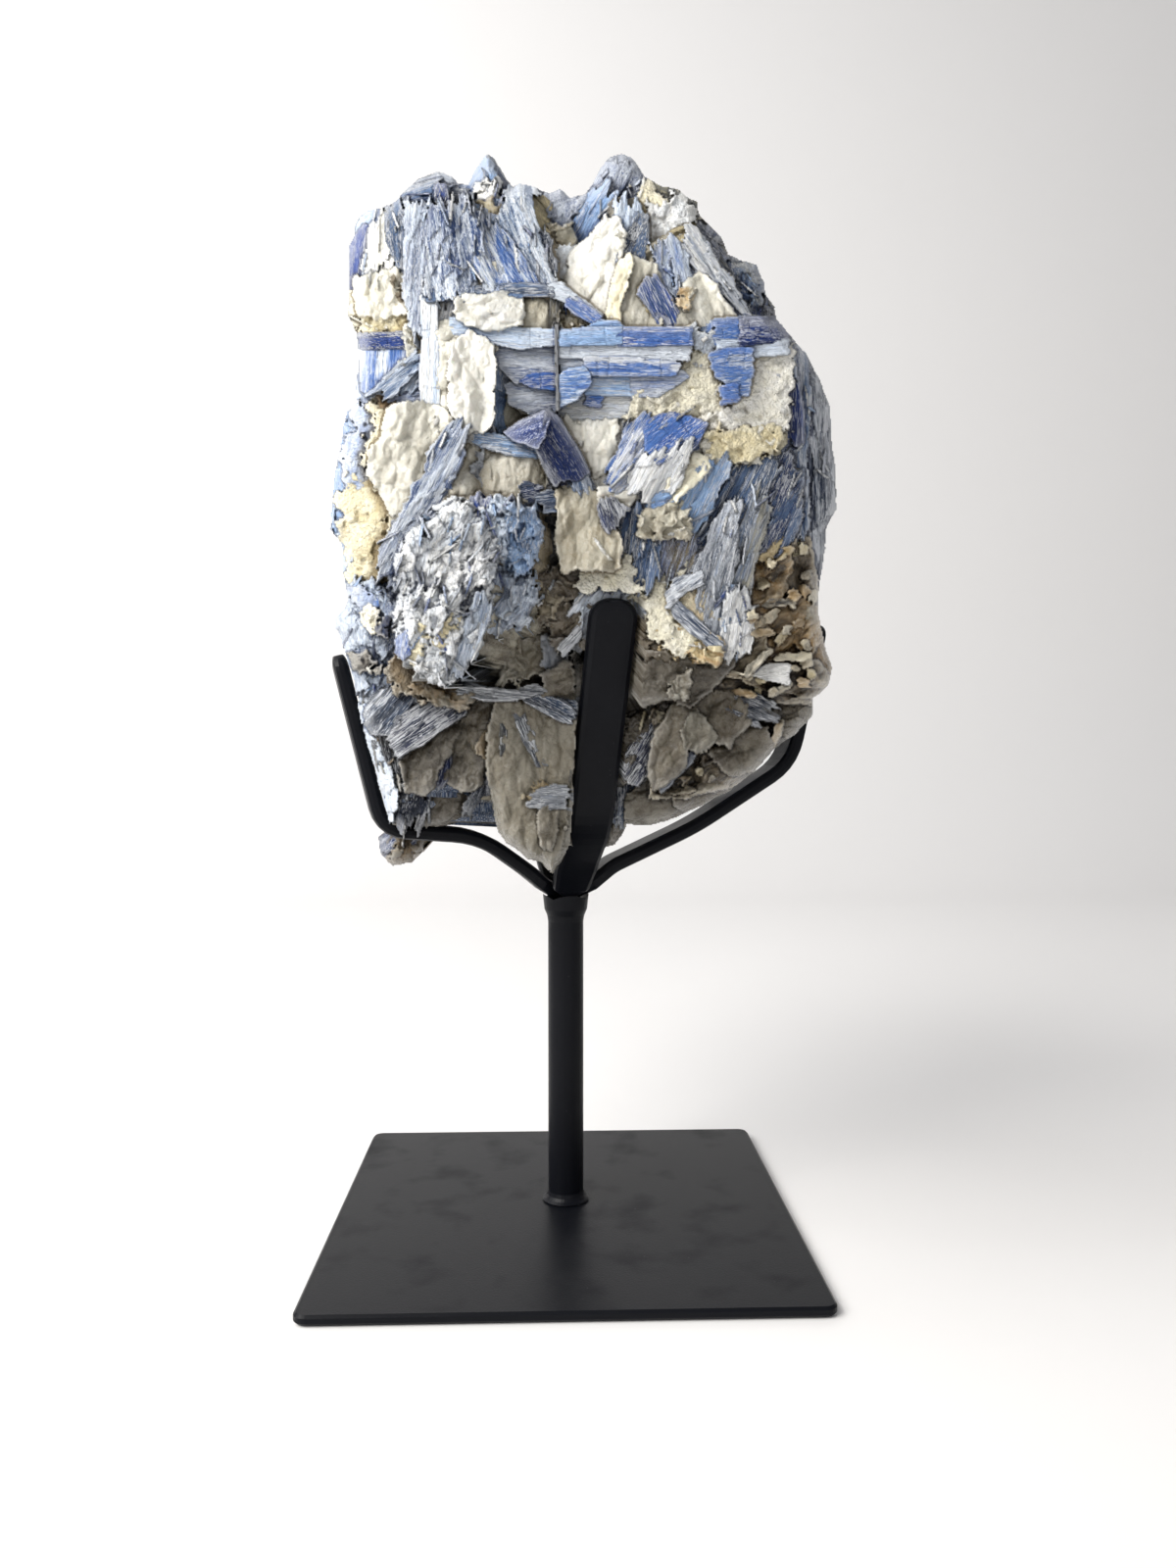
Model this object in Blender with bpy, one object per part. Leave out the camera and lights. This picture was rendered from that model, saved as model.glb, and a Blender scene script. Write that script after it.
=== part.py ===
"""Kyanite with quartz, held up by a black four-pronged display stand.

The stand is a square steel plate, a round post and four flat prongs that spread from the top of
the post and turn up round the stone. The stone is one solid, because its crystals grew together.
Metres, +Z up. The origin is the middle of the plate's underside, and the front faces -Y.
"""

import math

import bmesh
import bpy
import numpy as np
from mathutils import Euler, Matrix, Vector

MM = 0.001
CM = 0.01
GAP = 0.3 * MM  # left between two pieces that touch

# Base plate
PLATE_SIDE = 100 * MM
PLATE_THICKNESS = 2 * MM
PLATE_CORNER_RADIUS = 2.5 * MM
PLATE_EDGE_ROUND = 0.5 * MM
CORNER_STEPS = 6

# Post
POST_X = 0.5 * MM
POST_Y = 3 * MM
POST_RADIUS = 4 * MM
POST_FOOT_FLARE = 1.3 * MM
POST_TOP_FLARE = 1.2 * MM
POST_FOOT = PLATE_THICKNESS + GAP
POST_SIDES = 40

# Prongs: a flat bar, bent in one upright plane
BAR_WIDTH = 9.5 * MM
BAR_THICKNESS = 3.2 * MM
BAR_EDGE_RADIUS = 1.1 * MM
BAR_TIP_RADIUS = 3.6 * MM
ROOT_RADIUS = 1.9 * MM  # where each bar's pointed inner end starts, off the post's axis
ROOT_HEIGHT = 70.8 * MM  # height of the bars' middle line, carried in to the post's axis
ROOT_SLOPE = 0.62  # every bar leaves the post at this rise over run
ROOT_END = 5.5 * MM
CROSS_TURN = 12.0  # degrees that the cross of prongs is turned about the post

# Each prong's azimuth about the post, in degrees from +X towards +Y, and its bends as
# (distance from the post's axis, height, length of the bend along each leg), in centimetres
TIP_PLACES = (1.0, 0.72, 0.47, 0.26, 0.1, 0.02)  # sections of the round tip, in its radii from the end
TIP_THINNING = 0.35
BEND_STEPS = 5
EDGE_SHARE = 0.45  # the largest edge radius, as a part of a section's side
POST_HUB = 0.02  # innermost ring of the post's top, as a part of its radius

PRONGS = {
    "front_prong": (CROSS_TURN - 90, [(1.2, 8.05, 0.2), (2.25, 8.85, 0.5), (4.2, 13.26, 0)]),
    "right_prong": (CROSS_TURN, [(1.0, 7.80, 0.2), (3.0, 8.68, 0.5), (5.35, 10.12, 0.6), (6.1, 13.4, 0)]),
    "back_prong": (CROSS_TURN + 90, [(1.2, 8.05, 0.2), (2.25, 8.85, 0.5), (4.2, 13.26, 0)]),
    "left_prong": (
        CROSS_TURN + 180,
        [(0.9, 7.72, 0.2), (2.0, 8.52, 0.6), (4.1, 8.69, 0.5), (5.02, 12.45, 0)],
    ),
}

# Stone: its reach at each height, in centimetres, as (height, left, right, front, back)
STONE_MIDDLE = (0.4, 0.2)
STONE_LEVELS = [
    (8.95, -2.9, 1.7, -1.40, 1.5),
    (9.5, -3.8, 3.0, -1.9, 2.2),
    (10.2, -4.15, 4.1, -2.2, 2.75),
    (11.0, -4.4, 5.0, -2.6, 3.2),
    (12.0, -4.6, 5.6, -3.0, 3.6),
    (13.0, -4.85, 5.8, -3.4, 4.0),
    (14.0, -4.9, 5.7, -3.8, 4.2),
    (15.0, -5.0, 5.8, -4.2, 4.4),
    (16.0, -5.0, 5.9, -4.3, 4.4),
    (17.0, -4.9, 5.9, -4.2, 4.3),
    (18.0, -4.7, 5.8, -4.1, 4.1),
    (19.0, -4.6, 5.4, -3.9, 3.8),
    (20.0, -4.7, 4.7, -3.5, 3.4),
    (21.0, -4.8, 4.0, -2.9, 2.9),
    (21.8, -4.6, 3.4, -2.3, 2.4),
    (22.3, -4.0, 2.9, -1.7, 1.9),
    (22.5, -3.4, 2.4, -1.2, 1.4),
]
STONE_RINGS = 34
STONE_SIDES = 48
STONE_SQUARENESS = 3.3  # 2 is an ellipse, and more is squarer
STONE_ROUGHNESS = 0.03
RIPPLE_SUM = 2.4  # the waves' sum is divided by this
RIPPLE_BIAS = 0.4  # taken off, so that the ripple cuts in more than it stands out
CLEAVAGE_FACES = 90  # flat faces that trim the stone's main mass
CLEAVAGE_DEPTH = (0.965, 1.01)  # where they cut, as parts of its reach
CLEAVAGE_TILT = 0.16  # how far each leans from the outline behind it
CLEAVAGE_FACING = 0.2  # a face cuts only where it looks outward at least this much
CLEAVAGE_LIMIT = 0.75  # the deepest cut, as a part of the stone's reach
STONE_CLEARANCE = 0.35 * MM  # kept round each prong

# Crystals and lumps that stand out of the stone, in centimetres and degrees:
# (middle, half sizes, turn about X, Y and Z, how much the top narrows)
CRYSTALS = {
    "left_peak": ((-1.68, -0.8, 22.1), (0.72, 0.6, 1.25), (0, 3, 20), 0.97),
    "right_peak": ((1.3, 0.3, 22.4), (1.2, 1.0, 1.45), (0, 0, 15), 0.62),
    "top_left_lump": ((-2.95, -0.4, 22.0), (0.75, 0.9, 1.0), (0, -8, 10), 0.35),
    "top_middle_lump": ((-0.4, -0.2, 21.9), (0.9, 1.0, 0.85), (0, 6, -12), 0.2),
    "right_shoulder": ((3.4, 0.9, 20.95), (1.9, 1.1, 0.75), (0, 40, 0), 0.1),
    "fibrous_overhang": ((-1.75, -2.35, 20.25), (1.6, 0.85, 0.95), (-6, 0, 3), 0.12),
    "front_slab": ((2.05, -3.0, 17.7), (2.15, 1.0, 0.88), (0, 0, 6), 0.05),
    "right_edge_slab": ((5.3, -0.2, 16.7), (0.6, 2.1, 2.6), (0, -2, -4), 0.2),
    "left_edge_slab": ((-4.6, -0.4, 16.5), (0.5, 1.5, 1.4), (0, 3, 6), 0.2),
    "pale_mass": ((-1.8, -3.75, 13.5), (1.2, 1.05, 1.6), (-4, 4, 5), -0.12),
    "navy_prism": ((-0.35, -3.9, 15.95), (0.36, 0.75, 0.5), (0, -32, 8), 0.0),
    "mica_mass": ((4.75, -0.8, 12.8), (0.95, 1.5, 1.7), (6, 4, -6), 0.25),
    "left_lower_block": ((-2.75, -1.2, 10.0), (0.95, 0.85, 1.15), (8, 0, 0), -0.1),
    "quartz_lobe": ((-0.72, -1.15, 9.85), (0.68, 0.8, 1.75), (5, 0, 4), -0.1),
    "right_lobe": ((1.1, -0.5, 8.95), (0.4, 0.5, 0.6), (0, 10, 0), -0.15),
    "hanging_lump": ((-3.5, 1.2, 8.85), (0.5, 0.6, 1.05), (0, 14, 0), -0.2),
}
# Blades on the sides and back, set by rule between these azimuths and heights
BLADE_COUNT = 16
BLADE_AZIMUTHS = (8, 172)
BLADE_HEIGHTS = (12.5, 20.0)
BLADE_HALF_SIZES = ((0.45, 0.85), (0.35, 0.6), (1.2, 2.3))  # across, out of the stone, along
BLADE_SPACING_SHAKE = 0.6  # of the step between blades
BLADE_SINK = 0.93  # how far out their middles are, as a part of the stone's reach
BLADE_TILT = 28
BLADE_NARROWING = 0.1
CRYSTAL_JITTER = 0.05  # each corner moves by up to this part of a half size

NOTCH = ((-1.78, -0.3, 8.7), (0.2, 3.0, 0.7), (0, 6, 0), 0.5)  # open gap left of the quartz lobe

POWDER_BLACK = ((0.012, 0.013, 0.016), 0.38, 0.0)
STONE_BLUE_GREY = ((0.36, 0.41, 0.50), 0.55, 0.0)


def clear_scene():
    """Removes whatever the scene held."""
    for old in list(bpy.data.objects):
        bpy.data.objects.remove(old, do_unlink=True)


def material(name, colour, roughness, metallic):
    """A plain Principled material."""
    made = bpy.data.materials.new(name)
    made.use_nodes = True
    shader = made.node_tree.nodes["Principled BSDF"]
    shader.inputs["Base Color"].default_value = (*colour, 1)
    shader.inputs["Roughness"].default_value = roughness
    shader.inputs["Metallic"].default_value = metallic
    return made


def add_object(name, mesh, finish=None):
    """Puts a mesh in the scene as a named object."""
    made = bpy.data.objects.new(name, mesh)
    bpy.context.scene.collection.objects.link(made)
    if finish:
        mesh.materials.append(finish)
    return made


def loft(name, rings):
    """A closed body through equal rings of points, with a fan of triangles over each end ring."""
    rings = np.asarray(rings, dtype=float)
    count, sides, _ = rings.shape
    bm = bmesh.new()
    grid = [[bm.verts.new(point) for point in ring] for ring in rings]
    for row in range(count - 1):
        for side in range(sides):
            after = (side + 1) % sides
            bm.faces.new((grid[row][side], grid[row][after], grid[row + 1][after], grid[row + 1][side]))
    first = bm.verts.new(rings[0].mean(axis=0))
    last = bm.verts.new(rings[-1].mean(axis=0))
    for side in range(sides):
        after = (side + 1) % sides
        bm.faces.new((first, grid[0][after], grid[0][side]))
        bm.faces.new((last, grid[-1][side], grid[-1][after]))
    bmesh.ops.recalc_face_normals(bm, faces=bm.faces)
    mesh = bpy.data.meshes.new(name)
    bm.to_mesh(mesh)
    bm.free()
    return mesh


def smooth_shaded(mesh, angle=35):
    """Shades a mesh smooth, with edges sharper than the angle kept crisp."""
    mesh.shade_smooth()
    mesh.set_sharp_from_angle(angle=math.radians(angle))
    return mesh


def rounded_rectangle(width, depth, radius, steps):
    """Points round a rectangle with quarter-circle corners, anticlockwise."""
    corners = ((1, 1, 0), (-1, 1, 90), (-1, -1, 180), (1, -1, 270))
    points = []
    for side_x, side_y, start in corners:
        for step in range(steps + 1):
            angle = math.radians(start + 90 * step / steps)
            x = side_x * (width / 2 - radius) + radius * math.cos(angle)
            y = side_y * (depth / 2 - radius) + radius * math.sin(angle)
            points.append((x, y))
    return np.array(points)


# --- Base plate and post


def base_plate():
    """A square plate with round corners and softened edges."""
    heights = (0, PLATE_EDGE_ROUND, PLATE_THICKNESS - PLATE_EDGE_ROUND, PLATE_THICKNESS)
    insets = (PLATE_EDGE_ROUND, 0, 0, PLATE_EDGE_ROUND)
    rings = []
    for height, inset in zip(heights, insets):
        side = PLATE_SIDE - 2 * inset
        outline = rounded_rectangle(side, side, PLATE_CORNER_RADIUS - inset, CORNER_STEPS)
        rings.append([(x, y, height) for x, y in outline])
    return loft("base_plate", rings)


def bar_middle_height(distance):
    """Height of a bar's middle line near its root, at a distance from the post's axis."""
    return ROOT_HEIGHT + ROOT_SLOPE * distance


def funnel_height(x, y):
    """Height of the post's top at a place off its axis, just under the four bars.

    It rises with the larger of the two distances along the cross of bars, so each quarter of the
    top is a flat face that one bar lies on.
    """
    turn = math.radians(CROSS_TURN)
    along = abs(x * math.cos(turn) + y * math.sin(turn))
    across = abs(y * math.cos(turn) - x * math.sin(turn))
    drop = (BAR_THICKNESS / 2 + GAP) * math.hypot(1, ROOT_SLOPE)
    return bar_middle_height(max(along, across)) - drop


def post():
    """A round bar with a weld flare at its foot and at its top, which is cut to seat the prongs."""
    top_radius = POST_RADIUS + POST_TOP_FLARE
    neck = funnel_height(0, 0) - 3.0 * MM
    profile = [
        (POST_FOOT, POST_RADIUS + POST_FOOT_FLARE),
        (POST_FOOT + 0.5 * MM, POST_RADIUS + 0.55 * POST_FOOT_FLARE),
        (POST_FOOT + 1.1 * MM, POST_RADIUS + 0.2 * POST_FOOT_FLARE),
        (POST_FOOT + 1.9 * MM, POST_RADIUS),
        (neck, POST_RADIUS),
        (neck + 1.4 * MM, POST_RADIUS + 0.2 * POST_TOP_FLARE),
        (neck + 2.8 * MM, POST_RADIUS + 0.7 * POST_TOP_FLARE),
    ]
    start = math.radians(CROSS_TURN)
    angles = [start + 2 * math.pi * side / POST_SIDES for side in range(POST_SIDES)]
    rings = []
    for height, radius in profile:
        ring = [(radius * math.cos(a), radius * math.sin(a), height) for a in angles]
        rings.append(ring)
    rim = [(top_radius * math.cos(a), top_radius * math.sin(a)) for a in angles]
    rings.append([(x, y, funnel_height(x, y)) for x, y in rim])
    hub = [(x * POST_HUB, y * POST_HUB) for x, y in rim]
    rings.append([(x, y, funnel_height(x, y)) for x, y in hub])
    return loft("post", rings)


# --- Prongs


def bent_path(corners):
    """Smooth path through (distance, height, bend) corners: straight legs joined by soft curves.

    Each corner with a bend is left out and replaced by a quadratic curve that starts and ends one
    bend length along its two legs.
    """
    points = [Vector((ROOT_RADIUS, bar_middle_height(ROOT_RADIUS)))]
    points.append(Vector((ROOT_END, bar_middle_height(ROOT_END))))
    places = [Vector((ROOT_END, bar_middle_height(ROOT_END)))]
    bends = [0.0]
    for distance, height, bend in corners:
        places.append(Vector((distance, height)) * CM)
        bends.append(bend * CM)
    for before, here, after, bend in zip(places, places[1:], places[2:], bends[1:]):
        start = here + (before - here).normalized() * bend
        end = here + (after - here).normalized() * bend
        for step in range(BEND_STEPS + 1):
            t = step / BEND_STEPS
            points.append(start * (1 - t) ** 2 + here * (2 * t * (1 - t)) + end * t * t)
    direction = (places[-1] - places[-2]).normalized()
    for back in TIP_PLACES:
        points.append(places[-1] - direction * (BAR_TIP_RADIUS * back))
    return points


def bar(name, azimuth, corners, extra=0.0):
    """A flat bar along its bent path, pointed at the root so that four of them meet, round at the tip.

    extra thickens the bar all round, for the space that the stone leaves.
    """
    path = bent_path(corners)
    tip = path[-1] + (path[-1] - path[-2]).normalized() * (TIP_PLACES[-1] * BAR_TIP_RADIUS)
    outward = Vector((math.cos(math.radians(azimuth)), math.sin(math.radians(azimuth)), 0))
    sideways = Vector((-outward.y, outward.x, 0))
    up = Vector((0, 0, 1))
    axis = Vector((POST_X, POST_Y, 0))
    rings = []
    for index, place in enumerate(path):
        ahead = path[min(index + 1, len(path) - 1)] - place
        behind = place - path[max(index - 1, 0)]
        along = (ahead.normalized() + behind.normalized()).normalized()
        flat = outward * along.y - up * along.x
        lean = along.y * BAR_THICKNESS / 2
        half_width = min(BAR_WIDTH / 2, place.x - lean - GAP)
        to_tip = min((tip - place).length, BAR_TIP_RADIUS)
        rounding = BAR_TIP_RADIUS - math.sqrt(max(BAR_TIP_RADIUS**2 - (BAR_TIP_RADIUS - to_tip) ** 2, 0))
        half_width -= rounding
        thickness = BAR_THICKNESS * (1 - TIP_THINNING * (1 - to_tip / BAR_TIP_RADIUS) ** 3)
        width = 2 * (half_width + extra)
        radius = min(BAR_EDGE_RADIUS, EDGE_SHARE * width, EDGE_SHARE * thickness)
        section = rounded_rectangle(width, thickness + 2 * extra, radius, 2)
        centre = axis + outward * place.x + up * place.y
        rings.append([centre + sideways * x + flat * y for x, y in section])
    return loft(name, rings)


# --- Stone


def ripple(angle, height):
    """A smooth rise and fall of about -1 to 1 over the stone: a sum of waves round and up it."""
    waves = ((3, 0.9, 0.3), (5, -1.7, 1.1), (8, 2.6, 2.4), (13, -3.9, 0.7))
    total = sum(math.sin(turns * angle + climb * height + phase) for turns, climb, phase in waves)
    return total / RIPPLE_SUM


def stone_level(height):
    """The stone's reach to the left, right, front and back at a height, between its levels."""
    levels = np.array(STONE_LEVELS)
    return [np.interp(height, levels[:, 0], levels[:, column]) for column in range(1, 5)]


def squared_reach(angle, height):
    """Distance from the stone's middle line to its squared-off outline, along an angle."""
    left, right, front, back = stone_level(height)
    cos, sin = math.cos(angle), math.sin(angle)
    reach_x = right - STONE_MIDDLE[0] if cos > 0 else STONE_MIDDLE[0] - left
    reach_y = back - STONE_MIDDLE[1] if sin > 0 else STONE_MIDDLE[1] - front
    spread = abs(cos / reach_x) ** STONE_SQUARENESS + abs(sin / reach_y) ** STONE_SQUARENESS
    return spread ** (-1 / STONE_SQUARENESS)


def outline_point(angle, height, share=1.0):
    """A point on the stone's outline, or at a share of the way out to it."""
    reach = squared_reach(angle, height) * share
    x, y = STONE_MIDDLE
    return Vector((x + reach * math.cos(angle), y + reach * math.sin(angle), height))


def outline_normal(angle, height):
    """The outward direction of the stone's outline, from the points beside and above this one."""
    step, rise = 0.05, 0.3
    round_it = outline_point(angle + step, height) - outline_point(angle - step, height)
    up_it = outline_point(angle, height + rise) - outline_point(angle, height - rise)
    return round_it.cross(up_it).normalized()


def cleavage_planes():
    """Flat faces set all round the stone, each as (outward direction, distance along it)."""
    pick = np.random.default_rng(7)
    low, high = STONE_LEVELS[0][0], STONE_LEVELS[-1][0]
    planes = []
    for _ in range(CLEAVAGE_FACES):
        angle = pick.uniform(0, 2 * math.pi)
        height = pick.uniform(low, high)
        tilt = Vector(pick.normal(0, CLEAVAGE_TILT, 3))
        direction = (outline_normal(angle, height) + tilt).normalized()
        point = outline_point(angle, height, pick.uniform(*CLEAVAGE_DEPTH))
        planes.append((direction, direction.dot(point)))
    return planes


def stone_body():
    """The stone's main mass: squared-off rings, roughened by the ripple and trimmed by flat faces."""
    planes = cleavage_planes()
    heights = np.linspace(STONE_LEVELS[0][0], STONE_LEVELS[-1][0], STONE_RINGS)
    rings = []
    for height in heights:
        middle = Vector((*STONE_MIDDLE, height))
        ring = []
        for side in range(STONE_SIDES):
            angle = 2 * math.pi * side / STONE_SIDES
            out = Vector((math.cos(angle), math.sin(angle), 0))
            roughness = STONE_ROUGHNESS * (ripple(angle, height) - RIPPLE_BIAS)
            reach = squared_reach(angle, height) * (1 + roughness)
            for direction, distance in planes:
                facing = direction.dot(out)
                if facing > CLEAVAGE_FACING:
                    reach = min(reach, (distance - direction.dot(middle)) / facing)
            reach = max(reach, CLEAVAGE_LIMIT * squared_reach(angle, height))
            ring.append((middle + out * reach) * CM)
        rings.append(ring)
    return loft("specimen", rings)


def crystal(name, middle, half, turn, narrowing, seed):
    """A rough block: a box whose top narrows and whose corners are each moved a little."""
    shake = np.random.default_rng(seed)
    bm = bmesh.new()
    bmesh.ops.create_cube(bm, size=2)
    for corner in bm.verts:
        if corner.co.z > 0:
            corner.co.x *= 1 - narrowing
            corner.co.y *= 1 - narrowing
        corner.co += Vector(shake.uniform(-CRYSTAL_JITTER, CRYSTAL_JITTER, 3))
    place = Matrix.Translation(Vector(middle) * CM)
    place @= Euler([math.radians(a) for a in turn]).to_matrix().to_4x4()
    place @= Matrix.Diagonal(Vector((*half, 0)) * CM + Vector((0, 0, 0, 1)))
    bmesh.ops.transform(bm, matrix=place, verts=bm.verts)
    bmesh.ops.triangulate(bm, faces=bm.faces)
    mesh = bpy.data.meshes.new(name)
    bm.to_mesh(mesh)
    bm.free()
    return mesh


def side_blades():
    """Blades round the sides and back: each lies along the stone's face, near upright, half sunk."""
    pick = np.random.default_rng(21)
    blades = []
    for number in range(BLADE_COUNT):
        azimuth = np.interp(number + pick.uniform(0, BLADE_SPACING_SHAKE), (0, BLADE_COUNT), BLADE_AZIMUTHS)
        angle = math.radians(azimuth)
        height = pick.uniform(*BLADE_HEIGHTS)
        half = tuple(pick.uniform(*sizes) for sizes in BLADE_HALF_SIZES)
        middle = outline_point(angle, height, BLADE_SINK)
        facing = outline_normal(angle, height)
        yaw = math.degrees(math.atan2(facing.y, facing.x)) - 90
        lean = math.degrees(math.asin(facing.z))
        turn = (lean, pick.uniform(-BLADE_TILT, BLADE_TILT), yaw)
        blades.append((tuple(middle), half, turn, BLADE_NARROWING))
    return blades


def combine(target, mesh, operation):
    """Adds a mesh to the target or cuts it away, and leaves the target with the new mesh."""
    tool = add_object(mesh.name + "_tool", mesh)
    step = target.modifiers.new(operation.lower(), "BOOLEAN")
    step.operation = operation
    step.solver = "EXACT"
    step.object = tool
    bpy.context.view_layer.update()
    shaped = target.evaluated_get(bpy.context.evaluated_depsgraph_get())
    result = bpy.data.meshes.new_from_object(shaped)
    target.modifiers.remove(step)
    target.data = result
    bpy.data.objects.remove(tool, do_unlink=True)


def specimen(finish):
    """The stone: its main mass with every crystal joined on, then cut clear of the prongs."""
    stone = add_object("specimen", stone_body(), finish)
    for seed, (name, (middle, half, turn, narrowing)) in enumerate(CRYSTALS.items()):
        combine(stone, crystal(name, middle, half, turn, narrowing, seed), "UNION")
    for seed, blade in enumerate(side_blades(), start=len(CRYSTALS)):
        combine(stone, crystal("blade", *blade, seed), "UNION")
    combine(stone, crystal("notch", *NOTCH, seed=99), "DIFFERENCE")
    for name, (azimuth, corners) in PRONGS.items():
        combine(stone, bar(name + "_space", azimuth, corners, STONE_CLEARANCE), "DIFFERENCE")
    stone.data.name = "specimen"
    return stone


def main():
    clear_scene()
    stand = bpy.data.objects.new("stand", None)
    bpy.context.scene.collection.objects.link(stand)

    black = [material(name, *POWDER_BLACK) for name in ("plate_black", "post_black", "prong_black")]
    pieces = [add_object("base_plate", smooth_shaded(base_plate()), black[0])]
    post_object = add_object("post", smooth_shaded(post()), black[1])
    post_object.location = (POST_X, POST_Y, 0)
    pieces.append(post_object)
    for name, (azimuth, corners) in PRONGS.items():
        pieces.append(add_object(name, smooth_shaded(bar(name, azimuth, corners)), black[2]))
    pieces.append(specimen(material("stone", *STONE_BLUE_GREY)))
    for piece in pieces:
        piece.parent = stand


main()
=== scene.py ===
"""Kyanite and quartz specimen on a black pronged stand: crystals, finishes, light and camera."""

import math

import bpy
import numpy as np
from mathutils import Matrix, Vector
from mathutils.bvhtree import BVHTree


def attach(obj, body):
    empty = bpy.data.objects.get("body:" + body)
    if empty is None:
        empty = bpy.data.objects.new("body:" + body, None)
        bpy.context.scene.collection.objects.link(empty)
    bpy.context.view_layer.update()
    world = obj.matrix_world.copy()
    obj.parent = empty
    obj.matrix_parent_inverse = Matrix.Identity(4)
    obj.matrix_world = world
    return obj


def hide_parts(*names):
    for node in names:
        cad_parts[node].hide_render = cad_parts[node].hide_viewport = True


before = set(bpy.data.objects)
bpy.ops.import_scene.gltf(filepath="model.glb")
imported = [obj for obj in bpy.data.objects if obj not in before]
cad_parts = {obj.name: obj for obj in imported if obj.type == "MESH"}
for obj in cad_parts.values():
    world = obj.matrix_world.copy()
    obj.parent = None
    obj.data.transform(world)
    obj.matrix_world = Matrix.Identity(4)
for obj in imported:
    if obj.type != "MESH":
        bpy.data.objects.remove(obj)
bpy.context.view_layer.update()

bl_info = {
    "name": "Kyanite and quartz specimen",
    "version": (1, 0, 0),
    "blender": (4, 5, 0),
    "location": "3D View > Sidebar > Specimen",
    "description": "Builds a kyanite and quartz specimen on its display stand",
    "category": "Object",
}

CM = 0.01  # the stone's crystals are laid out in centimetres

# Camera: where it stands, in centimetres, and its frame, in pixels
EYE = np.array((-0.33, -25.43, 10.33))
YAW = math.radians(1.97)
PITCH = math.radians(1.5)
FOCAL = 1162.0
FRAME_WIDTH, FRAME_HEIGHT = 1200, 1600
SENSOR_MM = 36.0

# Prongs, as in the model: azimuth, and bends as (distance from the post, height), in centimetres
POST_AXIS = (0.05, 0.3)
BAR_HALF_WIDTH, BAR_HALF_THICKNESS = 0.475, 0.16
PRONG_BENDS = {
    -78.0: ((0.2, 7.2), (1.2, 8.05), (2.25, 8.85), (4.2, 13.26)),
    12.0: ((0.2, 7.2), (1.0, 7.80), (3.0, 8.68), (5.35, 10.12), (6.1, 13.4)),
    102.0: ((0.2, 7.2), (1.2, 8.05), (2.25, 8.85), (4.2, 13.26)),
    192.0: ((0.2, 7.2), (0.9, 7.72), (2.0, 8.52), (4.1, 8.69), (5.02, 12.45)),
}

STONE_MIDDLE = (0.4, 0.2)
STONE_LOW, STONE_HIGH = 8.3, 22.4

# The stone's edge as seen from the front, in frame pixels, from the top left and round to the right
STONE_OUTLINE = np.reshape((
    362, 230, 367, 220, 375, 215, 392, 210, 400, 207, 407, 200, 418, 190, 425, 182, 432, 181, 447, 174,
    463, 180, 467, 187, 477, 188, 486, 170, 493, 160, 498, 156, 504, 161, 514, 176, 523, 190, 530, 187,
    545, 190, 560, 197, 572, 192, 582, 201, 590, 199, 597, 198, 605, 185, 612, 172, 622, 160, 635, 156,
    645, 160, 652, 168, 658, 180, 675, 190, 692, 192, 702, 200, 712, 206, 714, 220, 726, 230, 736, 240,
    743, 260, 757, 266, 772, 270, 780, 288, 781, 300, 791, 312, 792, 324, 805, 340, 823, 360, 833, 380,
    842, 400, 848, 415, 848, 440, 852, 469, 854, 519, 844, 540, 841, 574, 837, 590, 835, 617, 838, 640,
    845, 667, 850, 680, 846, 698, 841, 705, 831, 713, 830, 730, 812, 750, 790, 765, 770, 788, 745, 808,
    708, 826, 682, 838, 662, 843, 640, 842, 636, 850, 628, 862, 612, 867, 596, 870, 580, 872, 563, 893,
    552, 880, 538, 877, 516, 860, 508, 850, 503, 832, 500, 812, 490, 822, 480, 838, 474, 835, 465, 842,
    437, 846, 433, 868, 420, 881, 400, 884, 388, 872, 385, 855, 397, 846, 395, 835, 388, 810, 380, 780,
    370, 750, 362, 720, 358, 690, 351, 670, 347, 650, 341, 640, 342, 630, 352, 620, 355, 610, 352, 600,
    348, 580, 349, 560, 346, 550, 337, 540, 338, 520, 340, 500, 342, 480, 346, 460, 349, 440, 354, 420,
    364, 410, 362, 390, 366, 378, 365, 360, 364, 340, 355, 322, 356, 300, 356, 250, 361, 240,
), (-1, 2))
PIXEL = 0.0195  # centimetres across one pixel on the stone's front
FRONT_LEFT, FRONT_RIGHT, FRONT_TOP, FRONT_BOTTOM = 330, 862, 150, 900

# Finishes by number, in the order that the stone's materials are added
KYANITE, QUARTZ, CRUST, MICA = range(4)


def linear(red, green, blue):
    """Linear colour from 0-255 screen values."""
    share = np.array((red, green, blue)) / 255
    low = share / 12.92
    high = ((share + 0.055) / 1.055) ** 2.4
    return tuple(float(v) for v in np.where(share <= 0.04045, low, high))


TONES = {
    "navy": linear(8, 34, 88),
    "deep_blue": linear(24, 64, 144),
    "blue": linear(74, 114, 182),
    "pale_blue": linear(152, 184, 224),
    "ice": linear(220, 230, 242),
    "silver": linear(204, 210, 219),
    "steel": linear(98, 122, 158),
    "storm": linear(62, 86, 132),
    "slate": linear(44, 58, 82),
    "ink": linear(16, 20, 30),
    "white": linear(250, 250, 247),
    "milk": linear(226, 224, 213),
    "cream": linear(246, 240, 214),
    "straw": linear(218, 204, 160),
    "gold": linear(172, 138, 84),
    "beige": linear(184, 180, 164),
    "tan": linear(146, 136, 114),
    "olive": linear(112, 110, 94),
    "brown": linear(88, 76, 58),
    "bronze": linear(156, 126, 80),
    "smoky": linear(56, 45, 33),
}

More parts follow.
